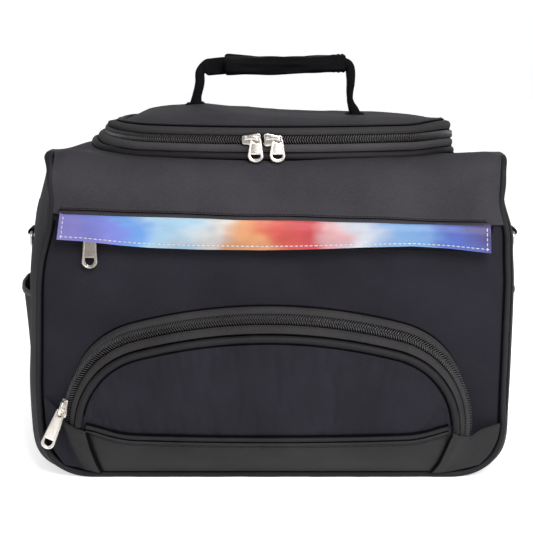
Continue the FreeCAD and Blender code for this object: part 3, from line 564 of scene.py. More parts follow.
def panel(y, top, inward, swell, seed):
    """A front or back panel. top gives its upper edge at each x, inward the sign of the way in."""
    u = np.linspace(-1.0, 1.0, 84)
    phi = np.linspace(0.0, np.pi / 2, 14)[:-1]
    z0 = np.r_[CORNER * (1.0 - np.cos(phi)), np.linspace(CORNER, PANEL_TOP, 44)][:, None]
    x = u[None] * (edge_half(z0) - 2.6)
    z = np.where(z0 < CORNER, z0, CORNER + (z0 - CORNER) * (top(x) - CORNER) / (PANEL_TOP - CORNER))
    w = np.clip(z / PANEL_TOP, 0.0, 1.0)
    out = swell * (1.0 - u[None] ** 4) * np.sin(np.pi * w)
    P = np.stack([x, np.full_like(x, y), z], -1)
    out = out + 0.6 * noise(P, (60, 40, 60), seed) + 0.25 * noise(P, (18, 18, 26), seed + 1)
    P[..., 1] -= inward * out
    P[..., 0] = sway(P[..., 0], P[..., 2]) if inward > 0 else P[..., 0]
    return P


front = panel(-109.6, lambda x: 199.0 - TILT * x + 17.0 * smooth(np.abs(x), 165.5, 169.0), 1.0, 1.2, 3)
piece("front_panel_cloth", slab(front, -3.0), BODY, "bag", ["front_panel"])
back = panel(109.6, lambda x: 254.5 + deck_lift(x, 0 * x + 110.0), -1.0, 3.0, 5)
piece("back_panel_cloth", slab(back, 3.0), BODY, "bag", ["back_panel"])


def corner_in(y):
    """1 at the deck's front corners, fading to 0 towards the back."""
    return 1.0 - smooth(y, -92.0, -40.0)


def ear_in(x):
    """How far the deck's front corners are drawn in at their top."""
    return np.where(np.asarray(x, float) < 0, 3.0, 0.5)


def gusset_sheet():
    """The band down one side, under the base and up the other side, swelling out between the piping."""
    y = np.linspace(-108.5, 108.5, 56)
    k = depth_share(y)[:, None]
    s = np.linspace(0.0, 1.0, 52)[None]
    lean = TOP - (TOP - CORNER) * s
    wide = half_at(lean) + side_swell(lean) * k
    corner = fold_share(lean) * corner_in(y[:, None])
    left, right = ear_in(-1) * corner - wide, (wide - ear_in(1) * corner)[:, ::-1]
    lift = deck_lift(left, y[:, None] + 0 * left) * smooth(lean, 200.0, TOP) - EAR_ROLL * corner
    phi = np.linspace(0, np.pi / 2, 18)[None, 1:]
    span = half_at(CORNER) - FLAT_HALF
    square = SQUARE - 0.24 * smooth(k, 0.0, 0.5)
    arc_x = -(FLAT_HALF + 20.0 * k) - span * np.abs(np.cos(phi)) ** square
    arc_z = CORNER - CORNER * np.sin(phi) ** square
    flat = np.linspace(-1, 1, 44)[None, 1:-1]
    flat_x, flat_z = flat * (FLAT_HALF + 20.0 * k), 0.0 * (flat + k)
    lift_r = deck_lift(right, y[:, None] + 0 * right) * smooth(lean[:, ::-1], 200.0, TOP)
    lift_r = lift_r - EAR_ROLL * corner[:, ::-1]
    x = np.hstack([left, arc_x, flat_x, -arc_x[:, ::-1], right])
    rise = lean + 0.0 * k
    height = np.hstack([rise, arc_z, flat_z, arc_z[:, ::-1], rise[:, ::-1]])
    x = np.where(x > FLAT_HALF, x - RIGHT_SLACK * k * smooth(TOP - height, 6.0, 60.0), x)
    z = np.hstack([lean + lift, arc_z, flat_z, arc_z[:, ::-1], lean[:, ::-1] + lift_r])
    fold = np.sqrt(np.maximum(FOLD**2 - np.maximum(lean - FOLD_Z, 0.0) ** 2, 0.0))
    edge = np.where(lean > FOLD_Z, np.maximum(y[:, None], -86.6 - fold), y[:, None])
    middle = np.broadcast_to(y[:, None], (len(y), x.shape[1] - 2 * lean.shape[1]))
    P = np.stack([x, np.hstack([edge, middle, edge[:, ::-1]]), z], -1)
    amp = smooth(z, 20.0, 90.0) * (0.35 + 0.65 * k)
    push = 1.6 * noise(P, (200, 46, 120), 11) + 0.7 * noise(P, (200, 17, 60), 12)
    P[..., 0] += np.sign(P[..., 0]) * push * amp
    ahead = smooth(-P[..., 1], 10.0, 104.0)
    P[..., 0] += (sway(P[..., 0], P[..., 2]) - P[..., 0]) * ahead
    return P


sides = gusset_sheet()
piece(
    "side_gusset_cloth",
    slab(sides, 3.0),
    SIDE_SHADED,
    "bag",
    ["left_side_panel", "right_side_panel", "bottom_panel"],
)


# The shoulder: yoke, fold and deck
FOLD_START = 30.0
FOLD_LENGTH = FOLD * math.pi / 2


def shoulder_point(u, s):
    """A point on the shoulder sheet, from flat coordinates: u across, s up the front and over the deck."""
    turn = np.clip((s - FOLD_START) / FOLD, 0.0, math.pi / 2)
    y = np.where(s < FOLD_START, -BODY_Y, FOLD_Y - FOLD * np.cos(turn))
    y = np.where(s > FOLD_START + FOLD_LENGTH, FOLD_Y + s - FOLD_START - FOLD_LENGTH, y)
    z = np.where(s < FOLD_START, FLAP_ZIP_Z + s, FOLD_Z + FOLD * np.sin(turn))
    corner = fold_share(z) * corner_in(y)
    x = u * (half_at(z) - 1.5 + DECK_SWELL * depth_share(y) - ear_in(u) * corner)
    x = front_sway(x, y, z)
    z = z + deck_lift(x, y) * smooth(z, 222.0, TOP) - EAR_ROLL * corner * smooth(np.abs(u), 0.93, 1.0)
    y = y - 1.1 * np.sin(np.pi * np.clip(s / 60.0, 0, 1)) * (1 - u**4)
    P = np.stack([x, y, z], -1)
    slanting = np.stack([x * 0.8 + z * 0.9, y, z], -1)
    fold = 1.4 * noise(slanting, (46, 60, 60), 21) + 0.55 * noise(P, (15, 22, 22), 22)
    P[..., 1] -= fold * (1 - smooth(s, 40, 75)) * smooth(s, 12.0, 26.0)
    P[..., 2] += fold * smooth(s, 40, 75) * 0.8
    return P


def flat_s(y):
    """How far up the flat shoulder sheet a depth on the deck lies."""
    y = np.asarray(y, float)
    turn = np.arccos(np.clip((FOLD_Y - y) / FOLD, -1.0, 1.0))
    return np.where(y < FOLD_Y, FOLD_START + FOLD * turn, FOLD_START + FOLD_LENGTH + y - FOLD_Y)


def lid_loop():
    """The lid's outline with outward normals: from the left zip end round the front, then round the back."""
    run = LID_ARC - LID_CORNER
    cx = LID_HALF - LID_CORNER
    cy = LID_ARC_Y - math.sqrt(run**2 - cx**2)
    turn = math.asin(cx / run)
    pts = []

    def line(a, b, nrm, n):
        for k in np.linspace(0, 1, n, endpoint=False):
            pts.append([a[0] + (b[0] - a[0]) * k, a[1] + (b[1] - a[1]) * k, 0, nrm[0], nrm[1], 0])

    def arc(c, r, a0, a1, n):
        for a in np.linspace(a0, a1, n, endpoint=False):
            pts.append([c[0] + r * math.cos(a), c[1] + r * math.sin(a), 0, math.cos(a), math.sin(a), 0])

    line((-LID_HALF, ZIP_END), (-LID_HALF, cy), (-1, 0), 12)
    arc((-cx, cy), LID_CORNER, math.pi, 1.5 * math.pi - turn, 34)
    arc((0, LID_ARC_Y), LID_ARC, 1.5 * math.pi - turn, 1.5 * math.pi + turn, 90)
    arc((cx, cy), LID_CORNER, 1.5 * math.pi + turn, 2 * math.pi, 34)
    line((LID_HALF, cy), (LID_HALF, ZIP_END), (1, 0), 12)
    zip_end = len(pts)
    bx = LID_HALF - LID_BACK_CORNER
    line((LID_HALF, ZIP_END), (LID_HALF, LID_BACK - LID_BACK_CORNER), (1, 0), 2)
    arc((bx, LID_BACK - LID_BACK_CORNER), LID_BACK_CORNER, 0, math.pi / 2, 30)
    line((bx, LID_BACK), (-bx, LID_BACK), (0, 1), 70)
    arc((-bx, LID_BACK - LID_BACK_CORNER), LID_BACK_CORNER, math.pi / 2, math.pi, 30)
    line((-LID_HALF, LID_BACK - LID_BACK_CORNER), (-LID_HALF, ZIP_END), (-1, 0), 2)
    return np.array(pts), zip_end


LOOP, ZIP_COUNT = lid_loop()
ZIP_LINE = np.vstack([LOOP[:ZIP_COUNT], LOOP[ZIP_COUNT]])


def lid_warp(P):
    """The soft lid leans in at its left end and out at its right, and twists with the deck."""
    P = np.array(P, float)
    x, y, h = P[..., 0], P[..., 1], P[..., 2] - TOP
    left = np.interp(h, [3.4, 10, 17, 23, 27, 36], [3.9, 9.0, 14.0, 15.4, 17.5, 19.0])
    right = np.interp(h, [4, 17, 26, 36], [3.5, 4.0, 4.5, 5.0])
    share = np.interp(h, [0, 10, 17, 23, 27], [1.0, 1.0, 0.55, 0.5, 0.2])
    share = np.where(x < 0, share, np.interp(h, [0, 26], [1.0, 0.75]))
    P[..., 2] += deck_lift(x, y) * share + 2.2 * smooth(x, 110.0, 150.0) * smooth(h, 17.0, 26.0)
    P[..., 2] -= 2.4 * smooth(-x, 95.0, 140.0) * smooth(h, 20.0, 27.0) * smooth(y, -40.0, 20.0)
    P[..., 0] = x + smooth(-x, 10.0, 150.0) * left - smooth(x, 10.0, 150.0) * right
    return P


def ring_at(points, offset, h):
    """Points on the lid's outline moved out by offset, at a height above the deck."""
    offset, h = np.asarray(offset, float), np.asarray(h, float)
    P = np.zeros(points.shape[:1] + (3,))
    P[:, 0] = points[:, 0] + points[:, 3] * offset
    P[:, 1] = points[:, 1] + points[:, 4] * offset
    P[:, 2] = TOP + h
    return lid_warp(P)


def shoulder_sheet():
    """The shoulder from the lid's mouth out to the yoke, the sides and the back seam."""
    hole = along(LOOP, count=281, closed=True)
    hx, hy = hole[:, 0] - hole[:, 3] * 1.6, hole[:, 1] - hole[:, 4] * 1.6
    hs = flat_s(hy)
    hu = hx / (half_at(TOP) - 1.5 + DECK_SWELL * depth_share(hy))
    ang = np.arctan2(hy + 5.0, hx * 0.55)
    end_s = flat_s(109.0)
    corner = np.array([[-1, 0], [1, 0], [1, 1], [-1, 1]])
    marks = [int(np.argmin(np.abs(ang - a))) for a in (-2.45, -0.69, 0.75, 2.39)]
    n = len(hole)
    U, S = np.zeros(n), np.zeros(n)
    for k in range(4):
        a, b = marks[k], marks[(k + 1) % 4]
        count = (b - a) % n
        for j in range(count):
            t = j / count
            c = corner[k] * (1 - t) + corner[(k + 1) % 4] * t
            i = (a + j) % n
            low = 7.5 - TILT * c[0] * 178.0
            U[i], S[i] = c[0], low + (end_s - low) * c[1]
    rows = np.linspace(0, 1, 34)[:, None]
    u = hu[None] * (1 - rows) + U[None] * rows
    s = hs[None] * (1 - rows) + S[None] * rows
    return shoulder_point(u, s)


shoulder = shoulder_sheet()
piece("shoulder_cloth", slab(shoulder, -1.8, True), YOKE, "bag", ["shoulder_panel"])


# Piping along the seams
def front_outline(inset, top):
    """The front's outline moved in by inset, from the top left round the bottom to the top right."""
    z = np.linspace(top, CORNER, 30)
    left = np.stack([-(half_at(z) - inset), z], 1)
    phi = np.linspace(0, np.pi / 2, 20)[1:]
    r = CORNER - inset
    turn = np.stack([np.abs(np.cos(phi)), np.sin(phi)]) ** SQUARE
    arc = np.stack([-(half_at(CORNER) - CORNER) - r * turn[0], CORNER - r * turn[1]], 1)
    half = np.vstack([left, arc])
    return np.vstack([half, half[::-1] * [-1, 1]])


def knob_share(P):
    """1 at the deck's front corners, where the piping is bunched, most on the left."""
    return np.exp(-(((P[:, 1] + 99.0) / 8.0) ** 2)) * np.where(P[:, 0] < 0, 1.0, 0.3)


def right_share(x, z):
    """1 along the right edge over its round corner, where the piping is slimmer."""
    return smooth(x, 100.0, 170.0) * smooth(z, 40.0, 70.0)


def deck_edge(sign):
    """The seam from the back corner along the side of the deck and over the front fold."""
    y = np.linspace(106.0, FOLD_Y, 50)
    x = half_at(TOP) + DECK_SWELL * depth_share(y) - 0.6 - ear_in(sign) * corner_in(y)
    z = TOP - 0.8 + deck_lift(x * sign, y) - EAR_ROLL * corner_in(y)
    turn = np.linspace(np.pi / 2, 0.1, 14)[1:]
    fy, fz = FOLD_Y - FOLD * np.cos(turn), FOLD_Z + FOLD * np.sin(turn)
    fold = fold_share(fz)
    fx = half_at(fz) + DECK_SWELL * depth_share(fy) - 1.2 - ear_in(sign) * fold
    fz = fz + deck_lift(fx * sign, fy) * smooth(fz, 222.0, TOP) - EAR_ROLL * fold
    P = np.vstack([np.stack([x * sign, y, z], 1), np.stack([fx * sign, fy, fz], 1)])
    P[:, 0] = front_sway(P[:, 0], P[:, 1], P[:, 2])
    knob = knob_share(P)
    P[:, 0] += sign * 4.5 * knob
    P[:, 2] += knob
    return P


outline = front_outline(2.4, 228.0)
outline[:, 0] = sway(outline[:, 0], outline[:, 1])
outline[:, 0] -= 0.9 * right_share(outline[:, 0], outline[:, 1]) * smooth(228.0 - outline[:, 1], 0.0, 20.0)
front_path = [deck_edge(-1.0), at_depth(outline[:, 0], -109.9, outline[:, 1]), deck_edge(1.0)[::-1]]
front_path = soften(along(np.vstack(front_path), 3.0))
knob = knob_share(front_path) * (front_path[:, 2] > 238.0)
bead = 2.75 + 0.22 * noise(front_path, 9.0, 31) + knob
bead = bead - 0.45 * right_share(front_path[:, 0], front_path[:, 2])
piece("front_piping_cord", tube(front_path, bead, 10), PIPING, "bag", ["front_piping"])
outline = front_outline(5.8, 211.0)
# Painted shade: a black cord in the gap inside the front piping.
painted_shade_cord("front_seam", at_depth(sway(outline[:, 0], outline[:, 1]), -110.3, outline[:, 1]), radius=0.9)
outline = front_outline(2.4, 252.0)
back_path = at_depth(outline[:, 0], 109.9, outline[:, 1])
back_path[:, 2] += deck_lift(back_path[:, 0], back_path[:, 1]) * smooth(back_path[:, 2], 200.0, TOP)
back_path = along(back_path, 3.0)
piece(
    "back_piping_cord", uneven(back_path, 2.75, 0.2, 9.0, 32), PIPING, "bag", ["back_piping"]
)


# The yoke's hem and the zip under the flap
def hem_line(x):
    """Height of the yoke's hem, which tilts and wavers."""
    return 212.6 - TILT * x + 0.35 * np.sin(x / 31.0) + 0.25 * np.sin(x / 13.0 + 1.0)


# The hem's section as depth and height over the hem line, from the yoke round to the underside
HEM = [(-109.2, 10.0), (-110.6, 8.0), (-111.8, 6.2), (-112.6, 4.6), (-112.9, 3.0)]
HEM += [(-112.6, 2.2), (-113.9, 1.9), (-115.7, 1.2), (-116.4, 0.2)]
HEM += [(-116.0, -0.9), (-114.6, -1.4), (-112.4, -0.8), (-109.4, 0.8)]
HEM = np.array(HEM)


def hem_point(x, k):
    """k runs along the hem's section from the yoke at 0 to the underside at 1."""
    d = np.linspace(0, 1, len(HEM))
    wave = 0.5 * noise(np.stack([x, 0 * x, 0 * x], -1), 26.0, 41)
    end = 1.0 - 0.75 * smooth(np.abs(x), 166.0, 174.5)
    y = -109.4 + (np.interp(k, d, HEM[:, 0]) + 109.4) * end - wave * np.sin(np.pi * k)
    return np.stack([x, y, hem_line(x) + np.interp(k, d, HEM[:, 1])], -1)


hx = np.linspace(-174.5, 174.5, 150)
hem = np.stack([hem_point(hx, 0 * hx + k) for k in np.linspace(0, 1, 19)], 1)
piece("yoke_hem_roll", rings(hem), YOKE, "bag", ["yoke_hem"], sharp=80)
# Painted shade: a black cord in the gap above the hem's roll.
painted_shade_cord("yoke_hem_seam", hem_point(hx[2:-2], 0 * hx[2:-2] + 5.2 / 12) + [0, -0.35, 0.1], radius=0.5)
row = hem_point(hx[3:-3], 0 * hx[3:-3] + 3.5 / 12)
piece("yoke_stitching", stitches(row, (0, -0.85, 0.5), SEAM_STITCH), THREAD_DARK)


def flap_zip(offset, y):
    """A line beside the zip under the flap, offset up from the parting line."""
    x = np.linspace(-166.0, 166.0, 110)
    return at_depth(x, y, FLAP_ZIP_Z - TILT * x + offset)


def flap_tape(low, high):
    """One tape of that zip, bowed out a little between its edges."""
    share = np.linspace(0, 1, 6)
    rows = [flap_zip(low + (high - low) * k, -109.0 - 0.5 * math.sin(math.pi * k)) for k in share]
    return slab(np.stack(rows), 0.8)


tapes = [flap_tape(-16.4, -1.6), flap_tape(1.6, 11.0)]
piece("flap_zip_tape", tapes, BODY, "bag", ["flap_zip_tapes"])
piece("flap_zip_stitching", stitches(flap_zip(-14.4, -110.4), (0, -1, 0), TAPE_STITCH), THREAD_DARK)
mid = flap_zip(0.0, -109.2)
facing = np.broadcast_to([0.0, -1.0, 0.0], mid.shape)
up_z = np.broadcast_to([0.0, 0.0, 1.0], mid.shape)
piece(
    "flap_zip_coil",
    [teeth(mid, facing, up_z, reach=3.0), teeth(mid, facing, -up_z, reach=3.0)],
    COIL,
    "bag",
    ["flap_zip_coils"],
)


# The printed flap
FLAP_LEFT, FLAP_RIGHT = -168.8, 172.6


def flap_low(x):
    """Height of the flap's free edge."""
    return np.interp(
        x,
        [-172, -149, -120, -97, -60, -10, 40, 73, 110, 140, 174],
        [197.6, 196.2, 192.8, 190.8, 189.5, 188.9, 190.0, 191.2, 192.0, 190.2, 186.4],
    )


def flap_point(x, v):
    """v runs from the seam under the hem at 0 to the free edge at 1."""
    x, v = np.broadcast_arrays(np.asarray(x, float), np.asarray(v, float))
    top = 213.2 - TILT * x
    z = top + (flap_low(x) - top) * v
    lean = np.interp(v, [0, 0.12, 0.35, 0.7, 1.0], [-115.2, -117.3, -118.9, -120.2, -121.3])
    ripple = (0.9 * np.sin(x / 27.0 + 0.6) + 0.7 * np.sin(x / 11.5)) * v**1.5
    return np.stack([x - 2.4 * v * smooth(-x, 120.0, 171.0), lean - 0.5 * ripple, z], -1)


fx = np.linspace(FLAP_LEFT, FLAP_RIGHT, 180)
fx[1:-1] = np.convolve(fx, [0.25, 0.5, 0.25], "valid")
fv = np.linspace(0, 1, 20)
flap = np.stack([flap_point(fx, v) for v in fv])
flap_obj = piece("printed_flap", slab(flap, 1.2), PRINT, "zip_flap", ["zip_flap"], sharp=60)


def flap_row(inset_low, inset_end):
    """Stitch path down the left end, along the free edge and up the right end."""
    x0, x1 = FLAP_LEFT + inset_end, FLAP_RIGHT - inset_end
    drop = 23.0
    v1 = 1.0 - inset_low / drop
    left = flap_point(np.full(10, x0), np.linspace(0.18, v1, 10))
    low = flap_point(np.linspace(x0, x1, 160), np.full(160, v1))
    right = flap_point(np.full(10, x1), np.linspace(v1, 0.18, 10))
    return [left, low, right]


for_flap = [stitches(p + [0, -0.25, 0], (0, -1, 0.1), FLAP_STITCH) for p in flap_row(2.8, 3.0)]
flap_thread = piece("flap_stitching", for_flap, THREAD_WHITE, "zip_flap")


# The lid
loop = along(LOOP, count=321, closed=True)
zip_line = along(ZIP_LINE, 2.0)
back_line = along(np.vstack([LOOP[ZIP_COUNT:], LOOP[:1]]), 2.0)


def lid_strip(points, section):
    """A strip swept along the lid's outline; section is (offset, height) pairs."""
    return np.stack([ring_at(points, o, h) for o, h in section])


base_path = ring_at(loop, 0.2, 3.4)
piece(
    "lid_base_cord",
    uneven(base_path, 3.5, 0.25, 12.0, 51, 12, closed=True, up=(0, 0, 1)),
    PIPING,
    "bag",
    ["lid_base_piping"],
)
lower = [(-1.0, 3.0), (-0.4, 6.2), (1.2, 8.0), (1.8, 10.2), (1.4, 12.0), (-0.5, 13.4), (-0.5, 16.2)]
lower = slab(lid_strip(zip_line, lower), 0.9)
piece("lid_tape_lower", lower, LID_TAPE_LIT, "bag", ["lid_zip_tape_lower"])
# Painted shade: black cords under the base cord, on the lower tape, below the coil and beside the top cord.
painted_shade_cord("lid_base_seam", ring_at(along(LOOP, 2.0, closed=True), 3.0, 0.9), radius=1.0)
painted_shade_cord("lid_coil_seam", ring_at(zip_line, 0.5, 13.3), radius=0.6)
painted_shade_cord("lid_tape_seam", ring_at(zip_line, 1.3, 6.6), radius=0.7)
painted_shade_cord("lid_top_seam", ring_at(zip_line, -4.5, 26.7), "lid", 0.7)
upper = [(0.2, 17.8), (0.2, 20.4), (1.3, 21.8), (1.4, 23.6), (0.2, 25.2), (-2.6, 26.2), (-6.6, 26.0)]
upper = slab(lid_strip(zip_line, upper), -0.9)
piece("lid_tape_upper", upper, TAPE, "lid", ["lid_zip_tape_upper"])
parting = ring_at(zip_line, 0.5, LID_PARTING)
out = zip_line[:, 3:6]
rise = unit(ring_at(zip_line, 0.5, 20.0) - parting)
for body, level, way, low, high in (("bag", "lower", -1.0, 12.9, 16.8), ("lid", "upper", 1.0, 17.2, 20.9)):
    # Painted shade: a black strip under each coil darkens the gaps between its teeth.
    shade_strip = slab(lid_strip(zip_line, [(0.42, low), (0.42, high)]), -0.2)
    piece(f"painted_shade_black_{body}", shade_strip, SHADE_BLACK, body)
    coil = teeth(parting, out, way * rise, reach=3.2, high=2.2)
    piece(f"lid_coil_{level}", coil, COIL, body, [f"lid_zip_coil_{level}"])

corner_right = back_line[back_line[:, 0] > LID_HALF - LID_BACK_CORNER - 2.0]
corner_left = back_line[back_line[:, 0] < -(LID_HALF - LID_BACK_CORNER) + 2.0]
straight = back_line[np.abs(back_line[:, 0]) < LID_HALF - LID_BACK_CORNER + 1.0]
low_back = [(-1.0, 3.0), (0.6, 6.0), (1.2, 10.0), (1.0, 14.0), (0.4, 16.4)]
high_back = [(0.4, 17.6), (1.0, 20.5), (0.7, 22.8), (-0.8, 24.7), (-3.4, 26.0), (-6.6, 26.2)]
low_corners = [slab(lid_strip(c, low_back), 1.4) for c in (corner_right, corner_left)]
piece("lid_hinge_corners", low_corners, BODY, "bag", ["lid_hinge_strip"])
high_corners = [slab(lid_strip(c, high_back), -1.4) for c in (corner_right, corner_left)]
piece("lid_gusset_corners", high_corners, BODY, "lid", ["lid_back_gusset"])
wall = low_back + [(0.4, h) for h in (16.6, 17.0, 17.4)] + high_back
hinge = piece("lid_hinge_wall", slab(lid_strip(straight, wall), 1.2), BODY, None, ())
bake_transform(hinge)

top_path = ring_at(loop, -6.8, 26.4)
piece(
    "lid_top_cord",
    uneven(top_path, 2.1, 0.2, 10.0, 52, closed=True, up=(0, 0, 1)),
    PIPING,
    "lid",
    ["lid_top_piping"],
)


def lid_dome(inset, base, rise_fn):
    """A crowned sheet inside the lid's outline, from the seam to a line along the middle."""
    edge = np.stack([loop[:, 0] - loop[:, 3] * inset, loop[:, 1] - loop[:, 4] * inset], 1)
    spine = np.stack([np.clip(edge[:, 0] * 0.72, -100, 100), np.full(len(edge), HANDLE_Y)], 1)
    t = (np.linspace(0, 1, 26) ** 1.35)[:, None, None]
    xy = edge[None] * (1 - t) + spine[None] * t
    d = np.linalg.norm(xy - edge[None], axis=-1)
    P = np.stack([xy[..., 0], xy[..., 1], TOP + base + rise_fn(xy, d)], -1)
    return lid_warp(P)


def crown(xy, d):
    """The lid top's rise, highest left of the middle, with small puckers away from the seam."""
    x, y = xy[..., 0], xy[..., 1]
    at = np.arange(-200.0, 201.0, 2.0)
    full = np.interp(
        at,
        [-150, -140, -124, -106, -90, -75, -63, -48, -30, 0, 30, 65, 85, 101, 117, 132, 150],
        [0.0, 4.0, 9.4, 12.2, 13.2, 14.8, 14.6, 12.4, 9.8, 6.9, 6.4, 6.4, 6.5, 6.7, 6.0, 5.2, 4.0],
    )
    hann = np.hanning(15)
    full = np.interp(x, at, np.convolve(full, hann / hann.sum(), "same"))
    full = np.minimum(full, 9.0) + np.maximum(full - 9.0, 0.0) * np.exp(-(((y + 6) / 38) ** 2))
    P = np.stack([x, y, 0 * x], -1)
    pucker = 0.5 * noise(P, (30, 22, 30), 55) + 0.25 * noise(P, (11, 11, 11), 56)
    return full * (1.0 - np.exp(-d / 11.0)) + pucker * smooth(d, 2.0, 16.0)


def sag(xy, d):
    """The lining hangs a little lower away from its edge."""
    return -0.8 * smooth(d, 0, 30) + 0.3 * noise(np.dstack([xy, 0 * d]), 22.0, 57)


dome = lid_dome(7.6, 25.8, crown)
dome_obj = piece("lid_top_cloth", slab(dome, -2.0, True), YOKE, "lid", ["lid_top_panel"])
lining = lid_dome(3.6, 21.4, sag)
piece("lid_lining_cloth", slab(lining, -1.0, True), LINING, "lid", ["lid_lining"])


# The handle
def dome_z(x, y):
    """Height of the lid's cloth at places across it."""
    cloud = dome.reshape(-1, 3)
    x, y = np.broadcast_arrays(np.asarray(x, float), np.asarray(y, float))
    gap = np.hypot(x.reshape(-1, 1) - cloud[None, :, 0], y.reshape(-1, 1) - cloud[None, :, 1]) + 0.05
    near = np.argsort(gap, axis=1)[:, :5]
    w = 1.0 / np.take_along_axis(gap, near, 1) ** 2
    return (np.sum(w * cloud[near, 2], 1) / np.sum(w, 1)).reshape(x.shape)


FEET = {"left": -66.0, "right": 70.0}


def handle_path():
    """The strap's middle line: up from the left foot, along the grip and down to the right foot."""
    low = [float(dome_z(x, HANDLE_Y)) + 0.2 for x in FEET.values()]
    pts = [[-65.2, low[0]], [-64.4, 303.5], [-62.2, 311.5], [-61.4, 317.0], [-61.9, 321.5], [-61.4, 325.0]]
    pts += [[-59.0, 327.2], [-54.5, 327.9], [-47.0, 328.6], [-40.0, 329.3], [0.0, 329.2], [40.0, 330.4]]
    pts += [[56.0, 331.8], [61.0, 332.0], [64.4, 330.6], [65.8, 326.5], [66.2, 320.0], [66.2, 314.0]]
    pts += [[65.4, 307.0], [65.6, 300.0], [67.2, 295.5], [70.5, low[1]]]
    pts = np.array(pts)
    return soften(along(at_depth(pts[:, 0], HANDLE_Y, pts[:, 1]), 1.6), 2)


def band(path, wide, thick, twist=0.0, power=5.0, sides=24):
    """A webbing band: a flat rounded section along a path, turned by twist about the path."""
    path = np.asarray(path, float)
    t = tangent(path)
    wide, thick, twist = (np.broadcast_to(np.asarray(v, float), (len(path),)) for v in (wide, thick, twist))
    across = unit(np.array([0.0, 1.0, 0.0]) - t * t[:, 1:2])
    up = np.cross(t, across)
    c, s = np.cos(twist)[:, None], np.sin(twist)[:, None]
    a, b = across * c + up * s, up * c - across * s
    ca, sa = squared_circle(np.linspace(0, 2 * np.pi, sides, endpoint=False), 2 / power)
    P = path[:, None] + a[:, None] * (ca[None] * wide[:, None] / 2)[..., None]
    return P + b[:, None] * (sa[None] * thick[:, None] / 2)[..., None]


hp = handle_path()
flat_run = smooth(hp[:, 0], -61.5, -54.5) * (hp[:, 0] < 30.0) * smooth(hp[:, 2], 316.0, 324.0)
left_leg = 8.0 + 2.0 * smooth(304.0 - hp[:, 2], 0.0, 8.0)
right_leg = np.interp(hp[:, 2], [292, 297, 302, 312, 322], [8.5, 6.2, 5.0, 6.4, 7.6])
leg = np.where(hp[:, 0] > 40.0, right_leg, left_leg) + 0.4 * noise(hp, 9.0, 61)
strap = band(hp, 18.0 - 12.0 * flat_run + 0.5 * noise(hp, 14.0, 62), leg + 6.6 * flat_run)
strap_obj = piece("handle_webbing", rings(strap), WEBBING, None, ["handle_strap"], sharp=60)
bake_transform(strap_obj)


def round_end(share):
    return np.sqrt(np.clip(1.0 - (1.0 - np.clip(share, 0, 1)) ** 2, 0, 1))


def grip_sleeve():
    """The padded sleeve round the strap, with lengthwise folds and a bunched right end."""
    x = np.linspace(-40.2, 61.5, 90)
    t = (x + 40.2) / 101.7
    z = 329.4 + 1.8 * smooth(t, 0.45, 1.0) + 0.4 * noise(np.stack([x, 0 * x, 0 * x], 1), 16.0, 65)
    ang = np.linspace(0, 2 * np.pi, 56, endpoint=False)
    end = 0.82 + 0.18 * round_end(t / 0.03) * round_end((1 - t) / 0.04)
    thick = 16.6 - 2.4 * t - 2.6 * np.sin(np.pi * t) ** 0.8
    P = band(at_depth(x, -6.2, z), 25.0 * end, thick * end, 0.12, 3.2, 56)
    q = np.stack(np.broadcast_arrays(x[:, None], 16 * np.cos(ang), 16 * np.sin(ang)), -1)
    fold = 1.5 * noise(q, (40.0, 6.5, 6.5), 66) + 0.8 * noise(q, (18.0, 3.8, 3.8), 67)
    bunch = smooth(t, 0.86, 1.0)[:, None] * 0.6 * np.sin(x[:, None] * 1.5 + 3 * noise(q, 9.0, 68))
    return P + grid_normal(P, True) * (fold + bunch)[..., None]


grip = grip_sleeve()
grip_obj = piece("handle_sleeve", rings(grip), WEBBING, "handle", ["handle_grip"], sharp=75)

for side, x0 in FEET.items():
    ax, ay = np.meshgrid(np.linspace(-8, 8, 14), np.linspace(-8, 15, 18))
    x, y = x0 + ax, HANDLE_Y + ay
    edge = np.maximum(np.abs(ax) / 8.0, np.abs(ay - 3.5) / 11.5)
    pad = np.stack([x, y, dome_z(x, y) + 1.1 - 0.8 * smooth(edge, 0.8, 1.0)], -1)
    rows = [np.stack([np.linspace(x0 - 6, x0 + 6, 9), np.full(9, k + HANDLE_Y)], 1) for k in (-5.5, 12.5)]
    rows += [np.stack([np.full(9, x0 + k), np.linspace(-10.0, 5.0, 9)], 1) for k in (-6.4, 6.4)]
    rows = [np.column_stack([r, dome_z(r[:, 0], r[:, 1]) + 1.1]) for r in rows]
    thread = [stitches(r, (0, 0, 1), FOOT_STITCH) for r in rows]
    piece(f"handle_foot_{side}", slab(pad, -2.4), WEBBING, "lid", [f"handle_anchor_{side}"])
    piece(f"handle_foot_stitching_{side}", thread, THREAD_DARK, "lid")


# The front pocket
def arch_line():
    """The arch's outline in the front plane with inward normals, from the left foot to the right foot."""
    corner_x = ARCH_HALF - ARCH_CORNER
    turn = math.asin(corner_x / (ARCH_TOP - ARCH_CORNER))
    left, right = math.pi / 2 + turn, math.pi / 2 - turn
    pts = [[-ARCH_HALF, ARCH_FOOT, 1, 0]]

    def arc(x, z, radius, angles):
        for a in angles:
            c, s = math.cos(a), math.sin(a)
            pts.append([x + radius * c, z + radius * s, -c, -s])

    arc(-corner_x, ARCH_Z, ARCH_CORNER, np.linspace(math.pi, left, 40))
    arc(0.0, ARCH_TOP_Z, ARCH_TOP, np.linspace(left, right, 70)[1:])
    arc(corner_x, ARCH_Z, ARCH_CORNER, np.linspace(right, 0, 40)[1:])
    pts.append([ARCH_HALF, ARCH_FOOT, -1, 0])
    p = np.array(pts)
    return np.stack([p[:, 0] + ARCH_X, 0 * p[:, 0], p[:, 1], p[:, 2], 0 * p[:, 0], p[:, 3]], 1)


ARCH = along(arch_line(), 2.0)
ARCH = ARCH[(ARCH[:, 0] > 0) | (ARCH[:, 2] > 44.0)]


FACE_DEPTH = 25.4  # how far the pocket's face stands out from the front panel


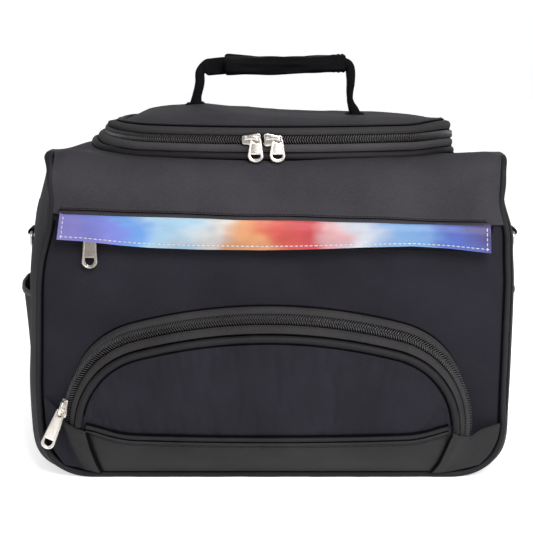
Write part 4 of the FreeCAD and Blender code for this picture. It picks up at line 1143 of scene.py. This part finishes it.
def arch_at(points, inset, depth):
    """Points on the arch moved in by inset and out from the front panel by depth."""
    P = points[:, :3] + points[:, 3:6] * np.broadcast_to(np.asarray(inset, float), len(points))[:, None]
    P[:, 2] -= 2.2 * smooth(points[:, 2], 96.0, 138.0)
    P[:, 1] = -BODY_Y - depth
    return P


def arch_share(points):
    """0 at the arch's feet, where the zip's outer tape stands steep, to 1 over its top."""
    return smooth(points[:, 2], 62.0, 122.0)


def tape_lie(points):
    """How far the outer tape lies back: little at the arch's feet, fully over its top."""
    return 0.12 + 0.88 * arch_share(points)


def on_slope(points, run, lift=0.0):
    """A point on the sloping zip: run across from the parting line, lift out of the slope."""
    lie = tape_lie(points) if run < 0 else 1.0
    inset = run * SLOPE_IN * lie - lift * SLOPE_OUT
    return arch_at(points, inset, PARTING + run * SLOPE_OUT + lift * SLOPE_IN)


def slope_strip(section):
    """A strip swept along the arch's zip; section is (run, lift) pairs."""
    return np.stack([on_slope(ARCH, run, lift) for run, lift in section])


outer = slope_strip([(-13.6, -0.8), (-12.4, 0.6), (-10.0, 1.7), (-7.4, 1.8), (-5.6, -0.2), (-0.7, -0.6)])
piece("pocket_tape_outside", slab(outer, -0.9), TAPE, "bag", ["pocket_tape_outer"])
# Painted shade: a black cord along the outer tape's edge.
painted_shade_cord("pocket_outer_seam", arch_at(ARCH, -9.9 * tape_lie(ARCH), 1.3), radius=0.9)
inner = [(0.7, -0.6), (5.6, -0.2), (7.4, 1.8), (10.5, 2.0), (14.0, 1.4), (17.0, 0.0), (20.4, -1.6)]
inner = slab(slope_strip(inner), -0.9)
piece("pocket_tape_inside", inner, TAPE, "pocket_door", ["pocket_tape_inner"])
# Painted shade: a black cord beside the inner coil.
painted_shade_cord("pocket_coil_seam", on_slope(ARCH, 5.7, 0.4), "pocket_door", 0.6)
zip_mid = on_slope(ARCH, 0.0, 0.4)
zip_in = unit(on_slope(ARCH, 1.0) - on_slope(ARCH, 0.0))
zip_out = unit(on_slope(ARCH, 0.0, 1.0) - on_slope(ARCH, 0.0))
for body, name, node, way, near, far in (
    ("bag", "outside", "outer", -1.0, -5.2, -0.25),
    ("pocket_door", "inside", "inner", 1.0, 0.25, 5.2),
):
    # Painted shade: a black strip under each coil darkens the gaps between its teeth.
    shade_strip = slab(slope_strip([(near, 0.75), (far, 0.75)]), -0.2)
    piece(f"pocket_zip_gap_shade_{body}", shade_strip, SHADE_BLACK, body)
    coil = teeth(zip_mid, zip_out, way * zip_in, reach=4.7, high=2.4)
    piece(f"pocket_coil_{name}", coil, COIL, body, [f"pocket_coil_{node}"])


def seam_z(x):
    """Height of the sagging seam under the pocket's face."""
    d = np.abs(np.asarray(x, float) - ARCH_X - 2.0) / 147.0
    return 37.8 + 3.4 * d**2 + 7.5 * smooth(d, 0.70, 1.03) ** 1.5


def face_sheet():
    """The padded face, in columns from the sagging bottom seam up to the arch."""
    line = arch_line()
    line = along(line[line[:, 2] >= ARCH_Z - 0.01], 1.7)
    top = arch_at(line, 14.0, FACE_DEPTH)
    foot = np.stack([top[:, 0], top[:, 1], np.minimum(seam_z(top[:, 0]), top[:, 2] - 0.6)], 1)
    edge = np.vstack([top, foot])
    t = (0.5 - 0.5 * np.cos(np.linspace(0, np.pi, 56)))[:, None, None]
    P = foot[None] * (1 - t) + top[None] * t
    d = np.min(np.hypot(P[..., :1] - edge[:, 0], P[..., 2:] - edge[:, 2]), axis=-1)
    from_edge = [0, 1.0, 2.2, 4.0, 8.0, 14.0, 26.0, 60.0, 90.0]
    rise = np.interp(d, from_edge, [0, 0.5, 0.7, 1.1, 1.8, 2.5, 3.4, 4.3, 4.4])
    wave = 0.7 * noise(P, (70, 40, 40), 81) + 0.3 * noise(P, (24, 20, 17), 82)
    P[..., 1] = -BODY_Y - FACE_DEPTH - 0.8 * rise - wave * smooth(d, 6, 26)
    return settle(P, held=d < 2.5, pressure=2.5, cap=3.5)


face = face_sheet()
face_obj = piece("pocket_face_cloth", slab(face, -2.4), FACE, "pocket_door", ["pocket_face"])
inward = 1.2 * (1.0 - arch_share(ARCH))
welt_line = arch_at(ARCH, 12.4 - inward, 25.6)
welt_line = welt_line[welt_line[:, 2] > np.where(welt_line[:, 0] < 0, 47.5, seam_z(welt_line[:, 0]) - 6.0)]
# Painted shade: black cords along both sides of the welt.
painted_shade_cord("pocket_welt_outer_seam", arch_at(ARCH, 9.1 - inward, 22.7), "pocket_door")
painted_shade_cord("pocket_welt_inner_seam", arch_at(ARCH, 15.9 - inward, 26.2)[8:-8], "pocket_door")
welt = uneven(welt_line, 3.1, 0.2, 8.0, 83, 12, up=(0, -1, 0))
sx = np.linspace(-149.0, 139.5, 140)
roll_line = at_depth(sx, -137.6, seam_z(sx) + 0.6)
roll = uneven(roll_line, 2.0, 0.2, 7.0, 84)
# Painted shade: black cords above and below the roll under the face.
painted_shade_cord("pocket_face_seam", roll_line + [0, 0.2, 2.9], "pocket_door", 0.9)
painted_shade_cord("pocket_band_seam", roll_line + [0, -1.3, -1.75], radius=0.6)
piece("pocket_face_welt", [welt, roll], PIPING, "pocket_door", ["pocket_face_piping"])


def band_sheet():
    """The sloping band under the pocket face, bowed like a stuffed fold, with a tongue behind the seam."""
    u = np.linspace(-1, 1, 110)[None]
    v = np.linspace(0, 1, 26)[:, None]
    half = 149.0 - 10.0 * v
    x = ARCH_X + 1.0 + u * half
    top = seam_z(x) - 1.6
    z = top + (5.4 - top) * v
    y = -137.2 + 24.5 * v**1.25 - 3.6 * np.sin(np.pi * v) ** 0.8 + 5.0 * smooth(np.abs(u), 0.955, 1.0)
    P = np.stack([x, y + 0 * x, z], -1)
    fold = 0.7 * noise(P, (60, 40, 16), 91) + 0.35 * noise(P, (22, 20, 9), 92)
    P[..., 1] -= fold * np.sin(np.pi * v)
    tongue = np.stack([x[0] * 0.985, np.full(110, -133.6), top[0] + 9.0], 1)
    return np.concatenate([tongue[None], P])


band_grid = band_sheet()
piece("pocket_band_cloth", slab(band_grid, 1.6), BAND, "bag", ["pocket_bottom_band"], sharp=70)
bx = np.linspace(-146.0, 138.0, 130)
row = at_depth(bx, -139.4, seam_z(bx) - 5.2)
piece("pocket_band_stitching", stitches(row, (0, -1, 0.05), SEAM_STITCH), THREAD_DARK)
lip_line = at_depth(sx, -137.4, seam_z(sx) - 2.6)
piece("pocket_band_lip", uneven(lip_line, 1.7, 0.2, 7.0, 85), BAND)


# The folded corners beside the band: x, y and z at five points from the band's end out to the piping,
# in four rows from the seam down to the base
LEFT_FOLD = [
    [[-148.6, -152, -166, -171.5, -184.6], [-139.6, -138.8, -127.5, -115.5, -112.2], [45, 45.6, 48.5, 54, 66]],
    [[-145.8, -149, -161.8, -168.5, -183.8], [-134.2, -133.2, -123, -114.6, -112], [30, 30.6, 33, 37, 45]],
    [[-142.8, -146, -157.4, -163.5, -178.6], [-125, -124.2, -117.6, -113.4, -112], [16, 16.6, 18, 20, 24.4]],
    [[-140.2, -143, -151.8, -157, -169.5], [-113.8, -113.4, -112.8, -112.2, -111.6], [5.2, 5.6, 7.4, 8.6, 11]],
]
RIGHT_FOLD = [
    [[142.5, 148, 158.5, 168, 183.6], [-140.2, -138.6, -127, -117.5, -112.6], [43.4, 41.2, 37.6, 40.8, 44.8]],
    [[138.5, 144, 155, 167, 182.4], [-134.2, -133, -123, -115.6, -112.2], [30, 29, 27.5, 29.5, 33]],
    [[134.5, 140, 151, 162, 176.6], [-124.6, -123.4, -116.4, -113.2, -112], [15.5, 15, 15, 16.4, 20]],
    [[129.5, 135, 146, 155, 168], [-113.8, -113.4, -112.4, -112, -111.6], [5.2, 5.4, 6.4, 8, 11]],
]


def gusset_fold(side):
    """A folded corner beside the band: out from the band's end, over creases, to the piping."""
    C = np.array(LEFT_FOLD if side < 0 else RIGHT_FOLD, float)
    k, u = np.arange(5), np.linspace(0, 4, 41)
    v = np.linspace(0, 1, 26)
    bent = np.stack([[np.interp(v * 3, np.arange(4), C[:, d, c]) for d in range(3)] for c in range(5)])
    bent = np.moveaxis(soften(np.moveaxis(bent, -1, 0), 6), 0, -1)
    P = np.stack([[np.interp(u, k, bent[:, d, i]) for d in range(3)] for i in range(26)])
    P = np.transpose(P, (0, 2, 1)).copy()
    P[:, 1:-1] = (P[:, :-2] + 4 * P[:, 1:-1] + P[:, 2:]) / 6
    lip = (1.0 - smooth(v, 0.0, 0.16))[:, None]
    P[..., 1] -= 0.5 * noise(P, (14, 14, 18), 95) + 0.9 * lip
    return P


def gusset(side, name, node):
    """The fold in two facets of the band's cloth; the left one's outer facet takes the bag's darker cloth as
    painted shade, for the fold's shadow.
    """
    P = gusset_fold(side)
    # Painted shade: a black cord along the fold's top edge, and on the left one also along its hem.
    painted_shade_cord(name + "_seam", P[:, 0] + [0.6 * -side, -0.6, 0.0], radius=1.1)
    if side < 0:
        painted_shade_cord(name + "_hem_seam", P[5, 1:20] + [0, -0.1, 0], radius=0.45)
    # Painted shade: on the left the outer facet gets the bag's darker cloth, where the fold shades it.
    for facet, tag, cloth in ((P[:, :21], "", BAND), (P[:, 20:], "_back", BODY if side < 0 else BAND)):
        edge = along(facet[0], 2.0)
        hem = uneven(edge, 1.3, 0.15, 7.0, 97, 8)
        piece(name + tag, [slab(facet, -1.4 * side), hem], cloth, "bag", [node], sharp=26)


gusset(-1, "pocket_fold_left", "pocket_gusset_left")
gusset(1, "pocket_fold_right", "pocket_gusset_right")


# Side pockets and strap loops
def side_x(y, z):
    """Half width of the bag at a depth and a height."""
    return half_at(z) + side_swell(z) * depth_share(y)


def side_pocket(sign):
    """An open pocket on one side, fullest at its top."""
    full = 9.5 if sign < 0 else 7.5
    y = np.linspace(-94.0, 94.0, 60)[None]
    v = np.linspace(0, 1, 34)[:, None]
    z = 50.0 + 97.0 * v - 3.0 * depth_share(y * 1.1) * v**3
    k = np.clip(1.0 - (y / 94.0) ** 2, 0, 1)
    swell = 1.2 + full * np.sqrt(k) * v**1.4
    x = side_x(y, z) + swell - (RIGHT_SLACK * depth_share(y) if sign > 0 else 0.0)
    P = np.stack(np.broadcast_arrays(x, y, z), -1).copy()
    P[..., 0] += (0.9 * noise(P, (60, 30, 40), 101) + 0.4 * noise(P, (60, 12, 20), 102)) * np.sqrt(k) * v
    P[..., 0] *= sign
    return P


for side, sign in (("left", -1.0), ("right", 1.0)):
    P = side_pocket(sign)
    pocket = slab(P, -1.6 * sign)
    piece(f"side_pocket_cloth_{side}", pocket, SIDE_SHADED, "bag", [f"side_pocket_{side}"])
    rim = along(P[-1], 3.0) + [0, 0, 0.5]
    lip = uneven(rim, 2.6, 0.3, 10.0, 103, 12, up=(0, 0, 1), flat=0.62)
    piece(f"side_pocket_hem_{side}", lip, PIPING, "bag", [f"side_binding_{side}"])
    a = np.linspace(-0.5 * np.pi, 1.5 * np.pi, 24)
    ring_x, ring_z = 206.3, 187.0
    turn = np.stack([ring_x + 3.3 * np.cos(a), 0 * a, ring_z + 3.3 * np.sin(a)], 1)[4:22]
    tail_z = np.linspace(191.0, 216.0, 12)
    tail = np.stack([side_x(0, tail_z) - 0.3 - (RIGHT_SLACK if sign > 0 else 0.0), 0 * tail_z, tail_z], 1)
    loop_path = along(np.vstack([tail[::-1], turn[::-1], tail + [1.3, 0, 0]]), 1.5)
    loop_path = soften(loop_path)
    loop_path[:, 0] *= sign
    strap_loop = band(loop_path, 23.0, 1.8, 0.0, 6.0, 16)
    piece(f"ring_loop_{side}", rings(strap_loop), WEBBING, "bag", [f"strap_loop_{side}"])


# The lining inside
def liner_sheet():
    """A tub-shaped lining: walls that follow the body inside, down to the base board."""
    a = np.linspace(0, 2 * np.pi, 200, endpoint=False)
    ux, uy = squared_circle(a, 0.32)
    z = np.r_[np.linspace(240.0, 40.0, 30), 40.0 - 34.5 * np.sin(np.linspace(0, np.pi / 2, 12))[1:]][:, None]
    shrink = np.where(z < 40.0, 26.0 * (1 - np.sqrt(np.maximum(1 - ((40.0 - z) / 34.6) ** 2, 0))), 0.0)
    y = uy[None] * (103.5 - 0.3 * shrink)
    x = ux[None] * (half_at(z) - 6.0 - shrink + (14.0 - 10.0 * smooth(z, 180.0, 240.0)) * depth_share(y))
    P = np.stack(np.broadcast_arrays(x, y, z), -1).copy()
    P[..., 0] += noise(P, (60, 30, 50), 111)
    P[..., 1] += noise(P, (30, 60, 50), 112) * 0.8
    floor = np.stack([P[-1] * [k, k, 1] for k in (0.75, 0.5, 0.25, 0.02)])
    return np.concatenate([P, floor])


piece("liner_cloth", slab(liner_sheet(), -0.9, True), LINING, "bag", ["liner"])


# Zip hardware
def plate(outline, holes, low, high, bevel):
    """A flat plate with holes and rounded edges, in the (x, y) plane from low to high."""
    steps = np.linspace(0.0, np.pi / 2, 4)
    inset = bevel * np.r_[1.0 - np.sin(steps), 1.0 - np.sin(steps[::-1])]
    level = np.r_[low + bevel * (1.0 - np.cos(steps)), high - bevel * (1.0 - np.cos(steps[::-1]))]
    V, F, caps, count = [], [], ([], []), 0
    for k, ring in enumerate([outline, *holes]):
        p = along(np.column_stack([ring, np.zeros(len(ring))]), 0.5, closed=True)[:, :2]
        q = np.roll(p, -1, 0)
        if (np.sum(p[:, 0] * q[:, 1] - q[:, 0] * p[:, 1]) > 0) == (k > 0):
            p = p[::-1]
        t = unit(np.roll(p, -1, 0) - np.roll(p, 1, 0))
        inner = p[None] + np.stack([-t[:, 1], t[:, 0]], 1)[None] * inset[:, None, None]
        rows = np.dstack([inner, np.broadcast_to(level[:, None], inner.shape[:2])])
        v, f = grid(rows, True, count)
        V.append(v)
        F += f
        for cap, row in zip(caps, (0, len(level) - 1)):
            cap.append([(count + row * len(p) + j, Vector(rows[row, j])) for j in range(len(p))])
        count += len(v)
    for cap in caps:
        index = [i for ring in cap for i, _ in ring]
        F += [[index[i] for i in tri] for tri in tessellate_polygon([[v for _, v in ring] for ring in cap])]
    return np.vstack(V), F


def rounded(points):
    """A closed outline with its corners cut round."""
    p = np.asarray(points, float)
    for _ in range(2):
        q = np.roll(p, -1, 0)
        p = np.stack([0.75 * p + 0.25 * q, 0.25 * p + 0.75 * q], 1).reshape(-1, 2)
    return p


def pull_form(length, top_half, low_half, slot_half, slot_high, rim, eye_half, eye_low):
    """A pull tab hung by its eye at the origin, along -y: a plate with a raised rim, a bar and a slot."""
    head, back, face = 3.2, 5.6, 6.9
    foot = head - length
    a = np.linspace(np.pi, 2 * np.pi, 25)
    bow = 0.86 * low_half
    low = np.stack([low_half * np.cos(a), foot + bow + bow * np.sin(a)], 1)
    a = np.linspace(0, np.pi, 19)
    high = np.stack([top_half * np.cos(a), -0.4 + 3.6 * np.sin(a)], 1)
    outline = np.vstack([low, high])
    a = np.linspace(2 * np.pi, np.pi, 15)
    slot_low = foot + rim
    slot = np.stack([slot_half * np.cos(a), slot_low + 0.7 * slot_high + 0.7 * slot_high * np.sin(a)], 1)
    slot = np.vstack([slot, [[-slot_half, slot_low + slot_high], [slot_half, slot_low + slot_high]]])
    a = np.linspace(2 * np.pi, 0, 20, endpoint=False)
    eye = np.stack([eye_half * np.cos(a), np.where(np.sin(a) > 0, 1.5, eye_low) * np.sin(a)], 1)
    body = plate(outline, [slot, eye], back, face, 0.3)
    ring = along(np.column_stack([outline, 0 * outline[:, 0] + face]), 0.7, closed=True)
    side = tangent(ring, True)
    ring = ring + np.stack([-side[:, 1], side[:, 0], 0 * side[:, 0]], 1) * 0.95
    bar_y = slot_low + slot_high + 0.9
    bar = [[x, bar_y, face] for x in (-slot_half - 0.4, 0, slot_half + 0.4)]
    return merge([body, tube(ring, 0.78, 10, True, up=(0, 0, 1)), tube(along(bar, 0.7), 0.6, 8)])


def slider_form(nose):
    """A slider: a shield-shaped front plate, a back plate, a post and an arched bail."""
    half = [(-7.5, 2.9), (-6.4, 3.6), (-2.8, 3.7), (0.6, 4.5)]
    half = np.array(half + [(4.2, 5.2), (6.7, 4.9), (7.6, 3.2), (7.0, 1.0)])
    shield = rounded(np.vstack([half * [1, -1], half[::-1]]))
    shield[:, 0] *= nose
    shield = shield if nose > 0 else shield[::-1]
    rear = rounded([(-5.0, -3.4), (5.0, -3.4), (5.0, 3.4), (-5.0, 3.4)])
    post = tube(np.array([[0, 0, -1.2], [0, 0, 1.5], [0, 0, 4.0]]), 0.5, 8)
    path = [(-5.6, 0, 4.2), (-6.0, 0.5, 6.4), (-5.2, 1.5, 8.2), (-2.4, 2.3, 9.2), (1.6, 2.4, 9.4)]
    path += [(4.4, 1.9, 9.1), (5.9, 0.6, 8.2), (5.8, 0.0, 6.4), (5.2, 0.0, 4.2)]
    path = soften(along(path, 0.5), 5)
    bail = rings(band(path, 1.7 + 1.5 * smooth(path[:, 2], 6.4, 8.6), 1.35, 0.0, 3.0, 16))
    return merge([plate(shield, [], 3.1, 4.9, 0.5), plate(rear, [], -1.8, -1.0, 0.25), post, bail])


def hardware(name, form, seat, material, body, shift=0.0):
    """A slider or pull on its zip. seat is its origin and its axes along and across the zip."""
    V, F = form
    origin, along_zip, across = seat
    axes = unit(np.array([along_zip, across, np.cross(along_zip, across)]))
    placed = np.asarray(origin, float) + (V[:, :1] + shift) * axes[0]
    placed = placed + V[:, 1:2] * axes[1] + V[:, 2:] * axes[2]
    return piece(name, (placed, F), material, body, [body])


POST = 3.6  # from a slider's middle to the post its pull hangs on
PULL_LEVEL = 6.25  # from the zip out to the middle of a pull's plate
# Each pull's length, half widths at top and foot, slot half width and height, rim, eye half width and depth
short_pull = pull_form(21.0, 4.5, 6.2, 4.0, 3.5, 2.7, 2.7, 2.6)
for side, x0, nose in (("left", -17.0, 1), ("right", 0.0, -1)):
    out_x, out_y = x0 / LID_ARC, -math.sqrt(1.0 - (x0 / LID_ARC) ** 2)
    out, up, tip = np.array([out_x, out_y, 0.0]), np.array([0.0, 0.0, 1.0]), math.radians(12.0)
    run = (-out_y, out_x, 0.0)
    foot = np.array([LID_ARC * out_x, LID_ARC_Y + LID_ARC * out_y, TOP + LID_PARTING])
    hardware(f"lid_slider_{side}_body", slider_form(nose), (foot, run, up), NICKEL, f"lid_slider_{side}")
    lean_out = out * math.cos(tip) + up * math.sin(tip)
    hang = (foot + (out - lean_out) * PULL_LEVEL, run, up * math.cos(tip) - out * math.sin(tip))
    hardware(f"lid_pull_{side}_tab", short_pull, hang, NICKEL, f"lid_pull_{side}", POST)


def turned(angle):
    """The axes along and up a line that falls to the right by an angle in the front plane."""
    return (math.cos(angle), 0.0, -math.sin(angle)), (math.sin(angle), 0.0, math.cos(angle))


row_along, row_up = turned(FLAP_TURN)
slider_run, slider_y = 149.0, -108.0
foot = (-slider_run * row_along[0], slider_y, FLAP_ZIP_Z - slider_run * row_along[2])
seat = (foot, row_along, row_up)
hardware("flap_slider_body", slider_form(-1), seat, NICKEL_DARK, "flap_zip_slider")
long_pull = pull_form(39.2, 4.4, 6.2, 3.7, 6.1, 2.6, 2.6, 3.6)
hardware("flap_pull_tab", long_pull, seat, NICKEL_DARK, "flap_zip_pull", POST)

turn = math.radians(167.0)
outward, forward = np.array([math.cos(turn), 0.0, math.sin(turn)]), np.array([0.0, -1.0, 0.0])
foot = np.array([ARCH_X - ARCH_HALF + ARCH_CORNER, -BODY_Y - PARTING, ARCH_Z]) + outward * ARCH_CORNER
run = np.cross(forward, outward)
foot -= run * 4.0 * np.sign(run[2])
seat = (foot, run, forward * SLOPE_OUT - outward * SLOPE_IN)
hardware("pocket_slider_body", slider_form(1), seat, NICKEL, "pocket_slider")
across = forward * SLOPE_IN + outward * SLOPE_OUT
hung = foot + run * POST + across * PULL_LEVEL - forward * PULL_LEVEL
tab = pull_form(36.0, 4.0, 5.5, 3.3, 5.6, 2.6, 2.5, 4.2)
hardware("pocket_pull_tab", tab, (hung, *turned(math.radians(23.6))), NICKEL_DULL, "pocket_pull")


# Hard parts that keep their CAD form
def paint(names, material):
    """Gives CAD pieces that stay visible their material."""
    for name in names:
        obj = bpy.data.objects.get(name)
        obj.data.materials.clear()
        obj.data.materials.append(material)


paint(["base_board"], BOARD)
paint(["d_ring_left", "d_ring_right"], NICKEL)


# Stage, light and camera
def studio():
    """White paper, three lamps, a soft surround and the photograph's camera."""
    bpy.ops.mesh.primitive_plane_add(size=8.0, location=(0, 1.0, -0.0002))
    floor = bpy.context.object
    floor.name = "studio_floor"
    s = Shader("studio_paper")
    ahead = s.node("SeparateXYZ", Vector=s.coord)["Y"]
    eased = [("interpolation_type", "SMOOTHSTEP")]
    fade = s.node("MapRange", eased, Value=ahead, From_Min=-2.1, From_Max=-1.4)["Result"]
    paper = s.ramp(s.noise(3.0), [(0.3, (0.93, 0.93, 0.93)), (0.7, (0.95, 0.95, 0.95))])
    shade = s.ramp(fade, [(0.0, (0.22, 0.22, 0.22)), (1.0, (1.0, 1.0, 1.0))], "LINEAR")
    tone = s.mix("MULTIPLY", 1.0, paper, shade)
    s.set(Base_Color=tone, Emission_Color=tone, Roughness=0.9, Emission_Strength=0.63)
    floor.data.materials.append(s.mat)

    def area(name, at, aim, size, power):
        light = bpy.data.lights.new(name, "AREA")
        light.shape, light.size, light.energy = "SQUARE", size, power
        obj = bpy.data.objects.new(name, light)
        obj.location = at
        obj.rotation_euler = (Vector(aim) - Vector(at)).to_track_quat("-Z", "Y").to_euler()
        bpy.context.scene.collection.objects.link(obj)

    area("key", (0.5, -1.6, 1.5), (0, 0, 0.15), 0.9, 52.0)
    area("right", (0.8, -0.85, 0.45), (0.05, 0, 0.15), 0.6, 5.0)
    area("left", (-1.2, -0.8, 0.7), (-0.05, 0, 0.15), 0.6, 4.0)
    world = bpy.data.worlds.new("studio")
    world.use_nodes = True
    nodes, links = world.node_tree.nodes, world.node_tree.links
    split = nodes.new("ShaderNodeSeparateXYZ")
    links.new(nodes.new("ShaderNodeTexCoord").outputs["Generated"], split.inputs["Vector"])
    ramp = nodes.new("ShaderNodeValToRGB")
    ramp.color_ramp.elements[0].color = (0.30, 0.30, 0.305, 1.0)
    ramp.color_ramp.elements[0].position, ramp.color_ramp.elements[1].position = 0.35, 0.85
    links.new(split.outputs["Y"], ramp.inputs["Fac"])
    links.new(ramp.outputs["Color"], nodes["Background"].inputs["Color"])
    bpy.context.scene.world = world
    bpy.context.scene.view_settings.view_transform = "Standard"

    cam = bpy.data.cameras.new("photo_camera")
    cam.lens, cam.sensor_width = 109.8, 36.0
    cam.clip_end = 50.0
    obj = bpy.data.objects.new("photo_camera", cam)
    aim = Vector((-0.0052, -0.110, 0.174))
    rise, distance = math.radians(9.5), 1.3
    obj.location = aim - Vector((0, math.cos(rise), -math.sin(rise))) * distance
    obj.rotation_euler = (aim - obj.location).to_track_quat("-Z", "Y").to_euler()
    bpy.context.scene.collection.objects.link(obj)
    bpy.context.scene.camera = obj


studio()
